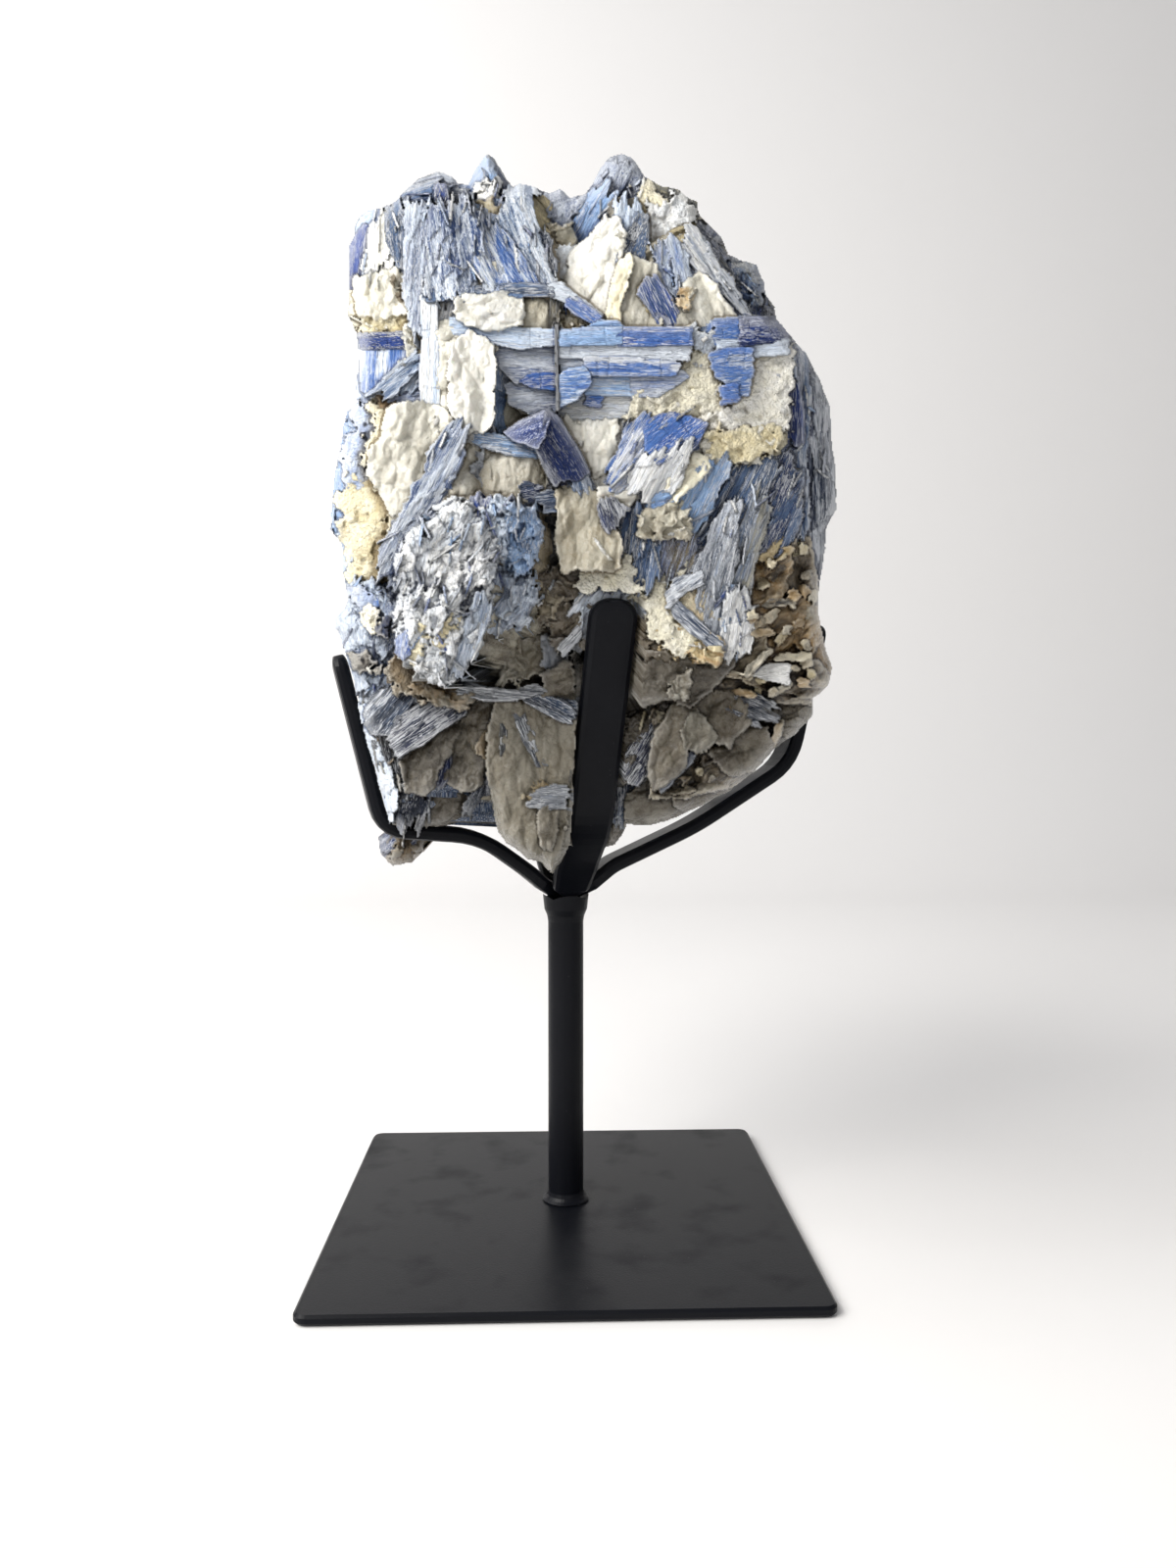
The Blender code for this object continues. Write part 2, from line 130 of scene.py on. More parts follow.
# Tones of the small splinters and grains that lie on each finish
LITTER = (
    ("white", "ice", "silver", "storm", "deep_blue", "slate", "pale_blue", "white"),
    ("white", "milk", "beige", "tan", "milk", "silver"),
    ("white", "cream", "straw", "beige", "steel", "white"),
    ("straw", "gold", "smoky", "tan", "beige", "ink"),
)
LITTER_TRIES = 1400
LITTER_SHARE = {"fibre": 0.6, "lump": 0.8, "mica": 0.8, "rough": 0.6, "crust": 0.3, "quartz": 0.1}


# --- Places


def camera_axes():
    """The camera's right, up and forward directions."""
    forward = np.array((math.sin(YAW) * math.cos(PITCH), math.cos(YAW) * math.cos(PITCH), -math.sin(PITCH)))
    right = np.array((math.cos(YAW), -math.sin(YAW), 0.0))
    return right, np.cross(right, forward), forward


RIGHT, UP, FORWARD = camera_axes()


def sight(columns, rows, depth):
    """Points seen at the given pixels, at the given distance along Y, in centimetres.

    The line from the eye through the pixel is followed until its Y is the depth.
    """
    columns, rows, depth = np.broadcast_arrays(*np.atleast_1d(columns, rows, depth))
    along = (columns[:, None] - FRAME_WIDTH / 2) * RIGHT - (rows[:, None] - FRAME_HEIGHT / 2) * UP
    along = along / FOCAL + FORWARD
    return EYE + along * ((depth - EYE[1]) / along[:, 1])[:, None]


def pixels(points):
    """Columns and rows where points in centimetres are seen: the offset along the camera's right and
    up directions over the distance along its forward direction."""
    offset = points - EYE
    far = offset @ FORWARD
    return (
        FRAME_WIDTH / 2 + FOCAL * (offset @ RIGHT) / far,
        FRAME_HEIGHT / 2 - FOCAL * (offset @ UP) / far,
    )


# --- Noise on whole arrays


def scatter(whole_x, whole_y, seed):
    """A fixed random number from 0 to 1 for each pair of whole numbers: their bits are mixed."""
    mixed = (whole_x.astype(np.int64) * 374761393 + whole_y.astype(np.int64) * 668265263) + seed * 974634777
    mixed = (mixed ^ (mixed >> 13)) * 1274126177 & 0x7FFFFFFF
    mixed = (mixed ^ (mixed >> 15)) * 1103515245 & 0x7FFFFFFF
    return ((mixed ^ (mixed >> 12)) & 0xFFFFF) / 0xFFFFF


def noise(x, y, seed):
    """Smooth noise from -1 to 1: random values on a square lattice, joined by smooth curves."""
    x, y = np.broadcast_arrays(x, y)
    cell_x, cell_y = np.floor(x), np.floor(y)
    part_x, part_y = x - cell_x, y - cell_y
    ease_x, ease_y = part_x**2 * (3 - 2 * part_x), part_y**2 * (3 - 2 * part_y)
    low = scatter(cell_x, cell_y, seed) * (1 - ease_x) + scatter(cell_x + 1, cell_y, seed) * ease_x
    high = scatter(cell_x, cell_y + 1, seed) * (1 - ease_x) + scatter(cell_x + 1, cell_y + 1, seed) * ease_x
    return (low * (1 - ease_y) + high * ease_y) * 2 - 1


def fractal(x, y, seed, octaves=4, gain=0.5):
    """Noise added to itself at twice the frequency and a share of the height, several times."""
    total, height, size = 0.0, 1.0, 0.0
    for octave in range(octaves):
        total = total + height * noise(x * 2**octave, y * 2**octave, seed + 17 * octave)
        size += height
        height *= gain
    return total / size


def nearest(x, y, seed):
    """The nearest of centres scattered one to a cell: its cell, the offset from it, and how much
    further the second nearest is."""
    cell_x, cell_y = np.floor(x), np.floor(y)
    best, second = np.full(x.shape, 9.0), np.full(x.shape, 9.0)
    found = [np.zeros(x.shape) for _ in range(4)]
    for step_x in (-1, 0, 1):
        for step_y in (-1, 0, 1):
            at_x, at_y = cell_x + step_x, cell_y + step_y
            off_x = x - at_x - scatter(at_x, at_y, seed)
            off_y = y - at_y - scatter(at_x, at_y, seed + 1)
            far = np.hypot(off_x, off_y)
            closer = far < best
            second = np.where(closer, best, np.minimum(second, far))
            best = np.where(closer, far, best)
            found = [np.where(closer, new, old) for new, old in zip((at_x, at_y, off_x, off_y), found)]
    return *found, second - best


def cleaved(x, y, seed, level=0.4, tilt=0.6, fall=0.6):
    """Flat broken faces that meet in creases: the highest of the tilted faces of nearby centres, each
    falling away only beyond its own middle part.

    Also a number from 0 to 1 that is the same all over each face.
    """
    cell_x, cell_y = np.floor(x), np.floor(y)
    height, face = np.full(x.shape, -9.0), np.zeros(x.shape)
    for step_x in (-1, 0, 1):
        for step_y in (-1, 0, 1):
            at_x, at_y = cell_x + step_x, cell_y + step_y
            off_x = x - at_x - scatter(at_x, at_y, seed)
            off_y = y - at_y - scatter(at_x, at_y, seed + 1)
            slope_x = (scatter(at_x, at_y, seed + 2) - 0.5) * tilt
            slope_y = (scatter(at_x, at_y, seed + 3) - 0.5) * tilt
            plane = scatter(at_x, at_y, seed + 4) * level + slope_x * off_x + slope_y * off_y
            plane = plane - 1.7 * fall * np.maximum(off_x**2 + off_y**2 - 0.32, 0)
            face = np.where(plane > height, scatter(at_x, at_y, seed + 5), face)
            height = np.maximum(height, plane)
    return height, face


def facets(x, y, seed, level=0.4, tilt=0.6, fall=0.6):
    """The height of the broken faces alone."""
    return cleaved(x, y, seed, level, tilt, fall)[0]


# --- Relief of each kind of crystal, in centimetres, from places along and across its grain. Each
# also gives a fleck from 0 to 1, the same all over one strand or face, that its colour follows.


def smooth_step(values, low, high):
    """0 below the low value, 1 above the high one, eased between."""
    share = np.clip((values - low) / (high - low), 0, 1)
    return share**2 * (3 - 2 * share)


def turned(along, across, angle):
    """Places along and across a direction turned by an angle."""
    return along * np.cos(angle) + across * np.sin(angle), across * np.cos(angle) - along * np.sin(angle)


def strands(along, across, seed, width, length, height):
    """Straight strands side by side, each in lengths at random levels that slope to one side."""
    lane = across / width + 0.8 * noise(along / 1.3, across / 0.5, seed)
    row = np.floor(lane)
    part = lane - row
    shift = scatter(row, row * 0, seed + 1)
    place = np.floor(along / length * (0.6 + 0.8 * shift) + 9 * shift + 0.4 * part)
    level = scatter(row, place, seed + 2)
    return height * (level + 0.45 * part), scatter(row, place, seed + 3)


def bladed(along, across, seed):
    """Kyanite: broad level steps along the grain under fine lines, with chips and cross cracks."""
    broad, tint = strands(along, across, seed, 0.30, 3.6, 0.05)
    fine, fleck = strands(along, across, seed + 20, 0.05, 1.8, 0.012)
    chips = smooth_step(fractal(along / 0.5, across / 0.22, seed + 3, 3), 0.22, 0.3)
    cracks = smooth_step(noise(along / 0.7, across / 2.5, seed + 4), 0.30, 0.34)
    fleck = np.clip(0.45 * fleck + 0.55 * tint + 0.5 * chips, 0, 1)
    return broad + fine - 0.03 * chips + 0.02 * cracks, fleck


def flat(along, across, seed):
    """A clean kyanite plate: shallow steps and fine lines along the grain, and fine cross cracks."""
    broad, tint = strands(along, across, seed, 0.24, 5.0, 0.022)
    fine, fleck = strands(along, across, seed + 20, 0.045, 2.2, 0.006)
    cracks = smooth_step(np.abs(noise(along / 0.5, across / 6.0, seed + 4)), 0.03, 0.0)
    worn_through = smooth_step(fractal(along / 0.8, across / 0.2, seed + 3, 4), 0.24, 0.34)
    return broad + fine - 0.02 * cracks - 0.015 * worn_through, np.clip(
        0.5 * fleck + 0.4 * tint + 0.45 * worn_through, 0, 1
    )


def fibrous(along, across, seed):
    """Fibres: bundles that lie over each other at a small angle, split into thin strands."""
    coarse = 0.08 * noise(across / 0.4, along / 1.6, seed)
    bundle, tint = strands(*turned(along, across, 0.10), seed + 1, 0.19, 1.3, 0.10)
    over, other = strands(*turned(along, across, -0.14), seed + 31, 0.24, 0.9, 0.11)
    hairs, fleck = strands(along, across, seed + 61, 0.055, 0.6, 0.035)
    top = over > bundle
    return coarse + np.maximum(bundle, over) + hairs, 0.5 * fleck + 0.5 * np.where(top, other, tint)


def broken(along, across, seed):
    """Quartz: flat broken faces, large and small, each with its own clearness, and a fine grain."""
    bent = 0.10 * fractal(along / 0.5, across / 0.5, seed + 30, 3)
    large, clear = cleaved(along / 1.1 + bent, across / 0.7 - bent, seed, 0.4, 0.9)
    small, clean = cleaved(along / 0.36 + bent, across / 0.20 + bent, seed + 9, 0.5, 1.3)
    chip, tint = cleaved(along / 0.13, across / 0.09, seed + 19, 0.5, 1.4)
    cloud = fractal(along / 0.5, across / 0.5, seed + 33, 4)
    fleck = 0.30 * clear + 0.40 * clean + 0.2 * tint + 0.25 * cloud
    return 0.36 * large + 0.12 * small + 0.022 * chip, np.clip(fleck, 0, 1)


def granular(along, across, seed):
    """Crust: small broken grains heaped on soft swells, worn through in pits."""
    swell = fractal(along / 0.8, across / 0.8, seed + 2, 4)
    grains = facets(along / 0.11, across / 0.11, seed, 0.8, 1.2, 0.9)
    pits = smooth_step(fractal(along / 0.3, across / 0.3, seed + 5, 3), 0.15, 0.35)
    fleck = 0.5 + 0.5 * fractal(along / 0.25, across / 0.25, seed + 7, 4, 0.6)
    return 0.035 * grains + 0.12 * swell - 0.08 * pits, np.clip(fleck + 0.4 * pits, 0, 1)


def matted(along, across, seed, size, spin, width, length, height):
    """Patches of strands, each patch lying its own way."""
    at_x, at_y, off_x, off_y, border = nearest(along / size, across / size, seed)
    spun = (scatter(at_x, at_y, seed + 8) - 0.5) * spin
    lie_x, lie_y = turned(along, across, spun)
    thread, fleck = strands(lie_x, lie_y, seed + 11, width, length, height)
    lean_x, lean_y = scatter(at_x, at_y, seed + 5) - 0.5, scatter(at_x, at_y, seed + 6) - 0.5
    level = scatter(at_x, at_y, seed + 7)
    patch = size * (0.35 * level + 0.8 * (lean_x * off_x + lean_y * off_y))
    return thread + patch, 0.6 * fleck + 0.4 * scatter(at_x, at_y, seed + 9)


def lumpy(along, across, seed):
    """A rounded lump matted with short shards that lie every way, over swells and pits."""
    swell = fractal(along / 0.9, across / 0.7, seed, 5, 0.6)
    bent = 0.12 * fractal(along / 0.3, across / 0.3, seed + 3, 3)
    mat, fleck = matted(along + bent, across - bent, seed + 41, 0.42, 2.4, 0.065, 0.35, 0.06)
    pits = smooth_step(fractal(along / 0.35, across / 0.25, seed + 71, 4, 0.6), 0.25, 0.42)
    return 0.26 * swell + mat - 0.12 * pits, fleck


def craggy(along, across, seed):
    """Brown rock: small broken faces of all sizes."""
    bent = 0.2 * fractal(along / 0.4, across / 0.4, seed + 30, 3)
    rock, fleck = matted(along + bent, across - bent, seed + 41, 0.30, 3.0, 0.12, 0.3, 0.06)
    return (
        0.25 * facets(along / 0.55 + bent, across / 0.4 - bent, seed)
        + 0.10 * fractal(along / 0.45, across / 0.45, seed + 9, 5, 0.65)
        + rock
    ), fleck


def flaky(along, across, seed):
    """Mica: crumpled books of thin sheets that lean every way, their edges in fine steps."""
    bent = 0.10 * fractal(along / 0.35, across / 0.3, seed + 8, 3)
    book, tint = cleaved(along / 0.80 + bent, across / 0.50 - bent, seed, 0.5, 1.3, 0.7)
    sheet, fleck = cleaved(along / 0.34 - bent, across / 0.18 + bent, seed + 41, 0.5, 1.3, 0.7)
    thin, other = strands(*turned(along + bent, across, 0.5), seed + 71, 0.05, 0.5, 0.03)
    height = 0.14 * fractal(along / 0.6, across / 0.5, seed, 3, 0.6) + 0.42 * book + 0.17 * sheet + thin
    return height, np.clip(0.35 * tint + 0.4 * fleck + 0.25 * other, 0, 1)


# Each kind: relief, finish, edge rounding, fingers along the grain, side roughness (centimetres)
KINDS = {
    "blade": (bladed, KYANITE, 0.02, 0.06, 0.025),
    "plate": (flat, KYANITE, 0.012, 0.03, 0.008),
    "fibre": (fibrous, KYANITE, 0.03, 0.20, 0.05),
    "quartz": (broken, QUARTZ, 0.04, 0.03, 0.05),
    "crust": (granular, CRUST, 0.05, 0.05, 0.16),
    "lump": (lumpy, KYANITE, 0.26, 0.10, 0.09),
    "rough": (craggy, QUARTZ, 0.10, 0.06, 0.10),
    "mica": (flaky, MICA, 0.03, 0.04, 0.04),
    "shard": (bladed, KYANITE, 0.01, 0.02, 0.005),
    "chip": (granular, CRUST, 0.02, 0.01, 0.01),
}


# --- One crystal


def chord(outline, along):
    """Where a crystal's outline starts and ends across the grain, at each place along it."""
    start, end = np.full(along.shape, np.inf), np.full(along.shape, -np.inf)
    for here, after in zip(outline, np.roll(outline, -1, axis=0)):
        if abs(after[0] - here[0]) < 1e-9:
            continue
        share = (along - here[0]) / (after[0] - here[0])
        across = here[1] + share * (after[1] - here[1])
        inside = (share >= 0) & (share <= 1)
        start = np.where(inside, np.minimum(start, across), start)
        end = np.where(inside, np.maximum(end, across), end)
    return start, end


def eased(count, share=0.35):
    """Even steps from 0 to 1 that draw closer together at both ends."""
    t = np.linspace(0, 1, count + 1)
    return t * (1 - share) + share * (0.5 - 0.5 * np.cos(math.pi * t))


def crystal_surface(outline, kind, thickness, cell, seed, depth=1.0):
    """A closed crystal in its own axes, as an array of (along, across, outward) rows and columns.

    Rows run along the grain. Each row goes over the front face from one side of the outline to the
    other, down one wall, under the back and up the other wall. The front's height is the kind's
    relief less a quarter-round drop near the outline.
    """
    relief, _, rounding, ragged, rough = KINDS[kind]
    low, high = outline[:, 0].min(), outline[:, 0].max()
    length = high - low
    rows = int(np.clip(length / cell, 8, 420))
    along = low + length * (0.004 + 0.992 * eased(rows))
    start, end = chord(outline, along)
    columns = int(np.clip((end - start).max() / cell, 6, 320))
    side = np.minimum(1, (end - start) / (4 * rough + 1e-6))
    start = start + rough * side * noise(along * 4, 0.3, seed + 50)
    end = end + rough * side * noise(along * 4, 7.7, seed + 51)
    share = eased(columns)
    across = start[:, None] + (end - start)[:, None] * share
    to_end = np.minimum(along - low, high - along)[:, None]
    push = ragged * (noise(across * 7, 0.5, seed + 52) + 0.6 * noise(across * 19, 1.5, seed + 53))
    lengthways = along[:, None] + push * np.exp(-to_end / (0.15 * length + 0.05))
    edge = np.minimum(np.minimum(across - start[:, None], end[:, None] - across), 1.2 * to_end)
    limit = min(rounding, 0.45 * float((end - start).max()))
    near = np.clip(1 - edge / max(limit, 1e-4), 0, 1)
    drop = limit * (1 - np.sqrt(np.maximum(1 - near**2, 0)))
    height, fleck = relief(lengthways + seed * 3.7, across + seed * 1.3, seed)
    front = depth * height - drop
    walls = (0.12, 0.35, 0.7, 1.0)
    side_start, side_end = [], []
    for number, part in enumerate(walls):
        shake = rough * noise(along * 5, part * 9, seed + 60 + number)
        inset = 0.05 * part * (end - start)
        side_end.append((along, end - inset + shake, front[:, -1] - part * thickness))
        side_start.append((along, start + inset + shake, front[:, 0] - part * thickness))
    ring = [np.stack((lengthways, across, front), axis=-1)]
    ring += [np.stack(wall, axis=-1)[:, None] for wall in side_end]
    ring += [np.stack(wall, axis=-1)[:, None] for wall in reversed(side_start)]
    fleck = np.concatenate([fleck] + [fleck[:, -1:]] * 4 + [fleck[:, :1]] * 4, axis=1)
    return np.concatenate(ring, axis=1), fleck


class Heap:
    """Gathers crystals for one object: points, faces, and what each point and face carries."""

    def __init__(self):
        self.points, self.quads, self.fans, self.grain, self.relief_shade_and_fleck = [], [], [], [], []
        self.tone, self.shade, self.quad_finish, self.fan_finish = [], [], [], []
        self.count = 0

    def add(self, surface, fleck, world, kind, tone, shade, streak, seed):
        """Adds a closed ring surface whose rows are joined in turn, with a pole at each end."""
        rows, columns, _ = surface.shape
        ends = np.stack((surface[0].mean(axis=0), surface[-1].mean(axis=0)))
        world_ends = np.stack((world[0].mean(axis=0), world[-1].mean(axis=0)))
        number = self.count + np.arange(rows * columns).reshape(rows, columns)
        after = np.roll(number, -1, axis=1)
        quads = np.stack((number[:-1], after[:-1], after[1:], number[1:]), axis=-1).reshape(-1, 4)
        first, last = self.count + rows * columns, self.count + rows * columns + 1
        low_fan = np.stack((np.full(columns, first), after[0], number[0]), axis=-1)
        high_fan = np.stack((np.full(columns, last), number[-1], after[-1]), axis=-1)
        self.quads.append(quads)
        self.fans += [low_fan, high_fan]
        self.points.append(np.concatenate((world.reshape(-1, 3), world_ends)))
        shift = np.array((seed * 3.1 % 40, seed * 5.7 % 40, seed * 2.3 % 40))
        self.grain.append(np.concatenate((surface.reshape(-1, 3), ends)) + shift)
        total = rows * columns + 2
        # Painted shade and highlight: how far each point stands above the crystal's mean level darkens its
        # low parts and lightens its high parts in the shaders; the fleck is its own tone
        level = surface[..., 2]
        front = np.clip((level - level.mean()) / 0.1, -1, 1) * 0.5
        relief_shade_and_fleck = np.stack((front, front * 0.5, fleck), axis=-1).reshape(-1, 3)
        self.relief_shade_and_fleck.append(np.concatenate((relief_shade_and_fleck, np.zeros((2, 3)))))
        self.tone.append(np.tile((*TONES[tone], streak), (total, 1)))
        self.shade.append(np.tile((*TONES[shade], 1.0), (total, 1)))
        self.quad_finish.append(np.full(len(quads), KINDS[kind][1]))
        self.fan_finish.append(np.full(2 * columns, KINDS[kind][1]))
        self.count += total


def mesh_object(name, heap):
    """One mesh from a heap, in metres, with its grain, tone and shade on the points."""
    points = seated(np.concatenate(heap.points)) * CM
    quads, fans = np.concatenate(heap.quads), np.concatenate(heap.fans)
    loops = np.concatenate((quads.ravel(), fans.ravel()))
    starts = np.concatenate((np.arange(len(quads)) * 4, len(quads) * 4 + np.arange(len(fans)) * 3))
    mesh = bpy.data.meshes.new(name)
    mesh.vertices.add(len(points))
    mesh.vertices.foreach_set("co", points.astype(np.float32).ravel())
    mesh.loops.add(len(loops))
    mesh.loops.foreach_set("vertex_index", loops.astype(np.int32))
    mesh.polygons.add(len(starts))
    mesh.polygons.foreach_set("loop_start", starts.astype(np.int32))
    finish = np.concatenate((*heap.quad_finish, *heap.fan_finish))
    mesh.polygons.foreach_set("material_index", finish.astype(np.int32))
    mesh.update(calc_edges=True)
    for label, kind, values in (
        ("grain", "FLOAT_VECTOR", heap.grain),
        ("relief_shade_and_fleck", "FLOAT_VECTOR", heap.relief_shade_and_fleck),
        ("tone", "FLOAT_COLOR", heap.tone),
        ("shade", "FLOAT_COLOR", heap.shade),
    ):
        layer = mesh.attributes.new(label, kind, "POINT")
        field = "vector" if kind == "FLOAT_VECTOR" else "color"
        layer.data.foreach_set(field, np.concatenate(values).astype(np.float32).ravel())
    made = bpy.data.objects.new(name, mesh)
    bpy.context.scene.collection.objects.link(made)
    for build in STONE_FINISHES:
        mesh.materials.append(build())
    return made


def seated(points):
    """Points moved in so that the stone only touches the prongs.

    Round each prong the distance from its bent middle line is found in its own upright plane; a
    point inside the bar's width and thickness is moved along the line's inward normal to its face.
    """
    points = points.copy()
    clear = BAR_HALF_THICKNESS + 0.05
    for azimuth, bends in PRONG_BENDS.items():
        out = np.array((math.cos(math.radians(azimuth)), math.sin(math.radians(azimuth))))
        offset = points[:, :2] - POST_AXIS
        radial = offset @ out
        beside = np.abs(offset @ np.array((-out[1], out[0])))
        for (r0, z0), (r1, z1) in zip(bends, bends[1:]):
            step = np.array((r1 - r0, z1 - z0))
            length = math.hypot(*step)
            step = step / length
            off_r, off_z = radial - r0, points[:, 2] - z0
            along = off_r * step[0] + off_z * step[1]
            inward = -off_r * step[1] + off_z * step[0]
            hit = (beside < BAR_HALF_WIDTH + 0.06) & (along > -0.1) & (along < length + 0.1)
            hit &= (inward > (-2.0 if azimuth < 0 else -0.55)) & (inward < clear)
            move = np.where(hit, clear - inward, 0)
            radial = radial - move * step[1]
            points[:, 0] -= move * step[1] * out[0]
            points[:, 1] -= move * step[1] * out[1]
            points[:, 2] += move * step[0]
    return points


# --- Crystals seen from the front, by zone. Each is
# (kind, distance along Y, lean to the right, lean up, grain in degrees, tone, shade, streak), and then
# its outline in frame pixels: column, row, column, row and so on

CROWN = (
    ("plate", -3.32, 0, 0.5, 1, "steel", "ink", 0.8, 434, 299, 462, 295, 500, 293, 540, 291, 563, 295,
     563, 300, 520, 301, 480, 302, 436, 306),
    ("plate", -3.3, 0, 0.1, -14, "ice", "silver", 0.6, 560, 292, 572, 290, 582, 300, 598, 310, 612, 322,
     600, 320, 580, 308, 562, 301),
    ("fibre", -1.3, -0.5, 0.4, 60, "ice", "pale_blue", 0.8, 361, 246, 364, 228, 376, 215, 388, 210, 400,
     212, 394, 224, 378, 233, 368, 247),
    ("plate", -1.5, -0.7, 0, 84, "deep_blue", "navy", 0.7, 360, 246, 372, 231, 377, 234, 376, 262, 371,
     285, 365, 304, 356, 303, 356, 262),
    ("fibre", -2.1, -0.5, 0.1, 88, "white", "cream", 0.7, 377, 232, 388, 221, 398, 226, 398, 262, 404,
     272, 374, 281, 371, 272, 376, 250),
    ("fibre", -2.3, -0.2, 0.2, 96, "steel", "slate", 0.8, 396, 213, 408, 208, 415, 232, 417, 255, 411,
     274, 400, 256, 395, 236),
    ("fibre", -1.5, -0.2, 0.6, 20, "steel", "slate", 0.9, 400, 212, 404, 200, 416, 192, 432, 187, 446,
     186, 456, 196, 456, 210, 428, 211, 412, 218),
    ("fibre", -1.0, 0, 0.7, 10, "silver", "slate", 0.7, 416, 193, 430, 182, 447, 174, 463, 180, 468, 187,
     480, 193, 487, 206, 470, 212, 448, 206),
    ("blade", -1.9, 0, 0.3, 88, "deep_blue", "ink", 0.9, 445, 190, 455, 189, 457, 209, 447, 209),
    ("fibre", -2.8, -0.15, 0.3, 88, "ice", "storm", 0.8, 413, 214, 424, 210, 441, 212, 444, 240, 441, 282,
     438, 304, 437, 336, 421, 340, 413, 300),
    ("fibre", -2.95, 0.05, 0.35, 100, "storm", "ice", 0.9, 439, 211, 462, 207, 484, 205, 493, 224, 489,
     250, 480, 276, 484, 299, 436, 304, 439, 262),
    ("blade", -0.9, -0.5, 0.35, 62, "pale_blue", "steel", 0.6, 472, 193, 483, 180, 491, 162, 497, 156,
     503, 176, 500, 192, 486, 200),
    ("fibre", -0.85, 0.7, 0.3, 122, "steel", "slate", 0.9, 497, 156, 503, 160, 514, 175, 524, 190, 516,
     200, 505, 198, 500, 180),
    ("lump", -1.5, 0, 0.4, 60, "white", "cream", 0.4, 484, 198, 494, 188, 506, 186, 511, 196, 506, 210,
     490, 208),
    ("rough", -1.9, 0, 0.35, 60, "tan", "straw", 0.5, 484, 210, 492, 202, 503, 203, 507, 214, 500, 222,
     486, 219),
    ("fibre", -2.5, 0.1, 0.4, 112, "steel", "ice", 1.0, 507, 212, 518, 194, 530, 187, 546, 190, 541, 212,
     549, 242, 560, 268, 566, 296, 548, 298, 528, 252, 512, 228),
    ("fibre", -2.95, 0.05, 0.35, 118, "blue", "ice", 1.0, 484, 232, 500, 222, 520, 243, 536, 268, 550,
     297, 516, 300, 488, 296, 486, 262),
    ("crust", -3.05, 0, 0.3, 100, "cream", "white", 0.6, 471, 262, 484, 254, 497, 262, 500, 282, 492, 293,
     480, 282),
    ("fibre", -2.6, 0.2, 0.4, 100, "slate", "ink", 0.9, 541, 222, 549, 230, 560, 250, 566, 275, 566, 296,
     552, 296, 545, 258),
    ("lump", -1.3, 0.1, 0.5, 60, "silver", "storm", 1.0, 541, 196, 549, 192, 560, 197, 572, 192, 582, 201,
     592, 199, 592, 220, 580, 236, 560, 242, 546, 228),
    ("rough", -1.9, 0.1, 0.4, 70, "tan", "olive", 0.8, 556, 236, 568, 229, 582, 230, 582, 246, 570, 256,
     560, 250),
    ("crust", -2.3, 0.1, 0.35, 95, "ice", "white", 0.7, 563, 252, 576, 250, 586, 256, 588, 272, 580, 292,
     570, 300, 562, 298, 564, 276),
)

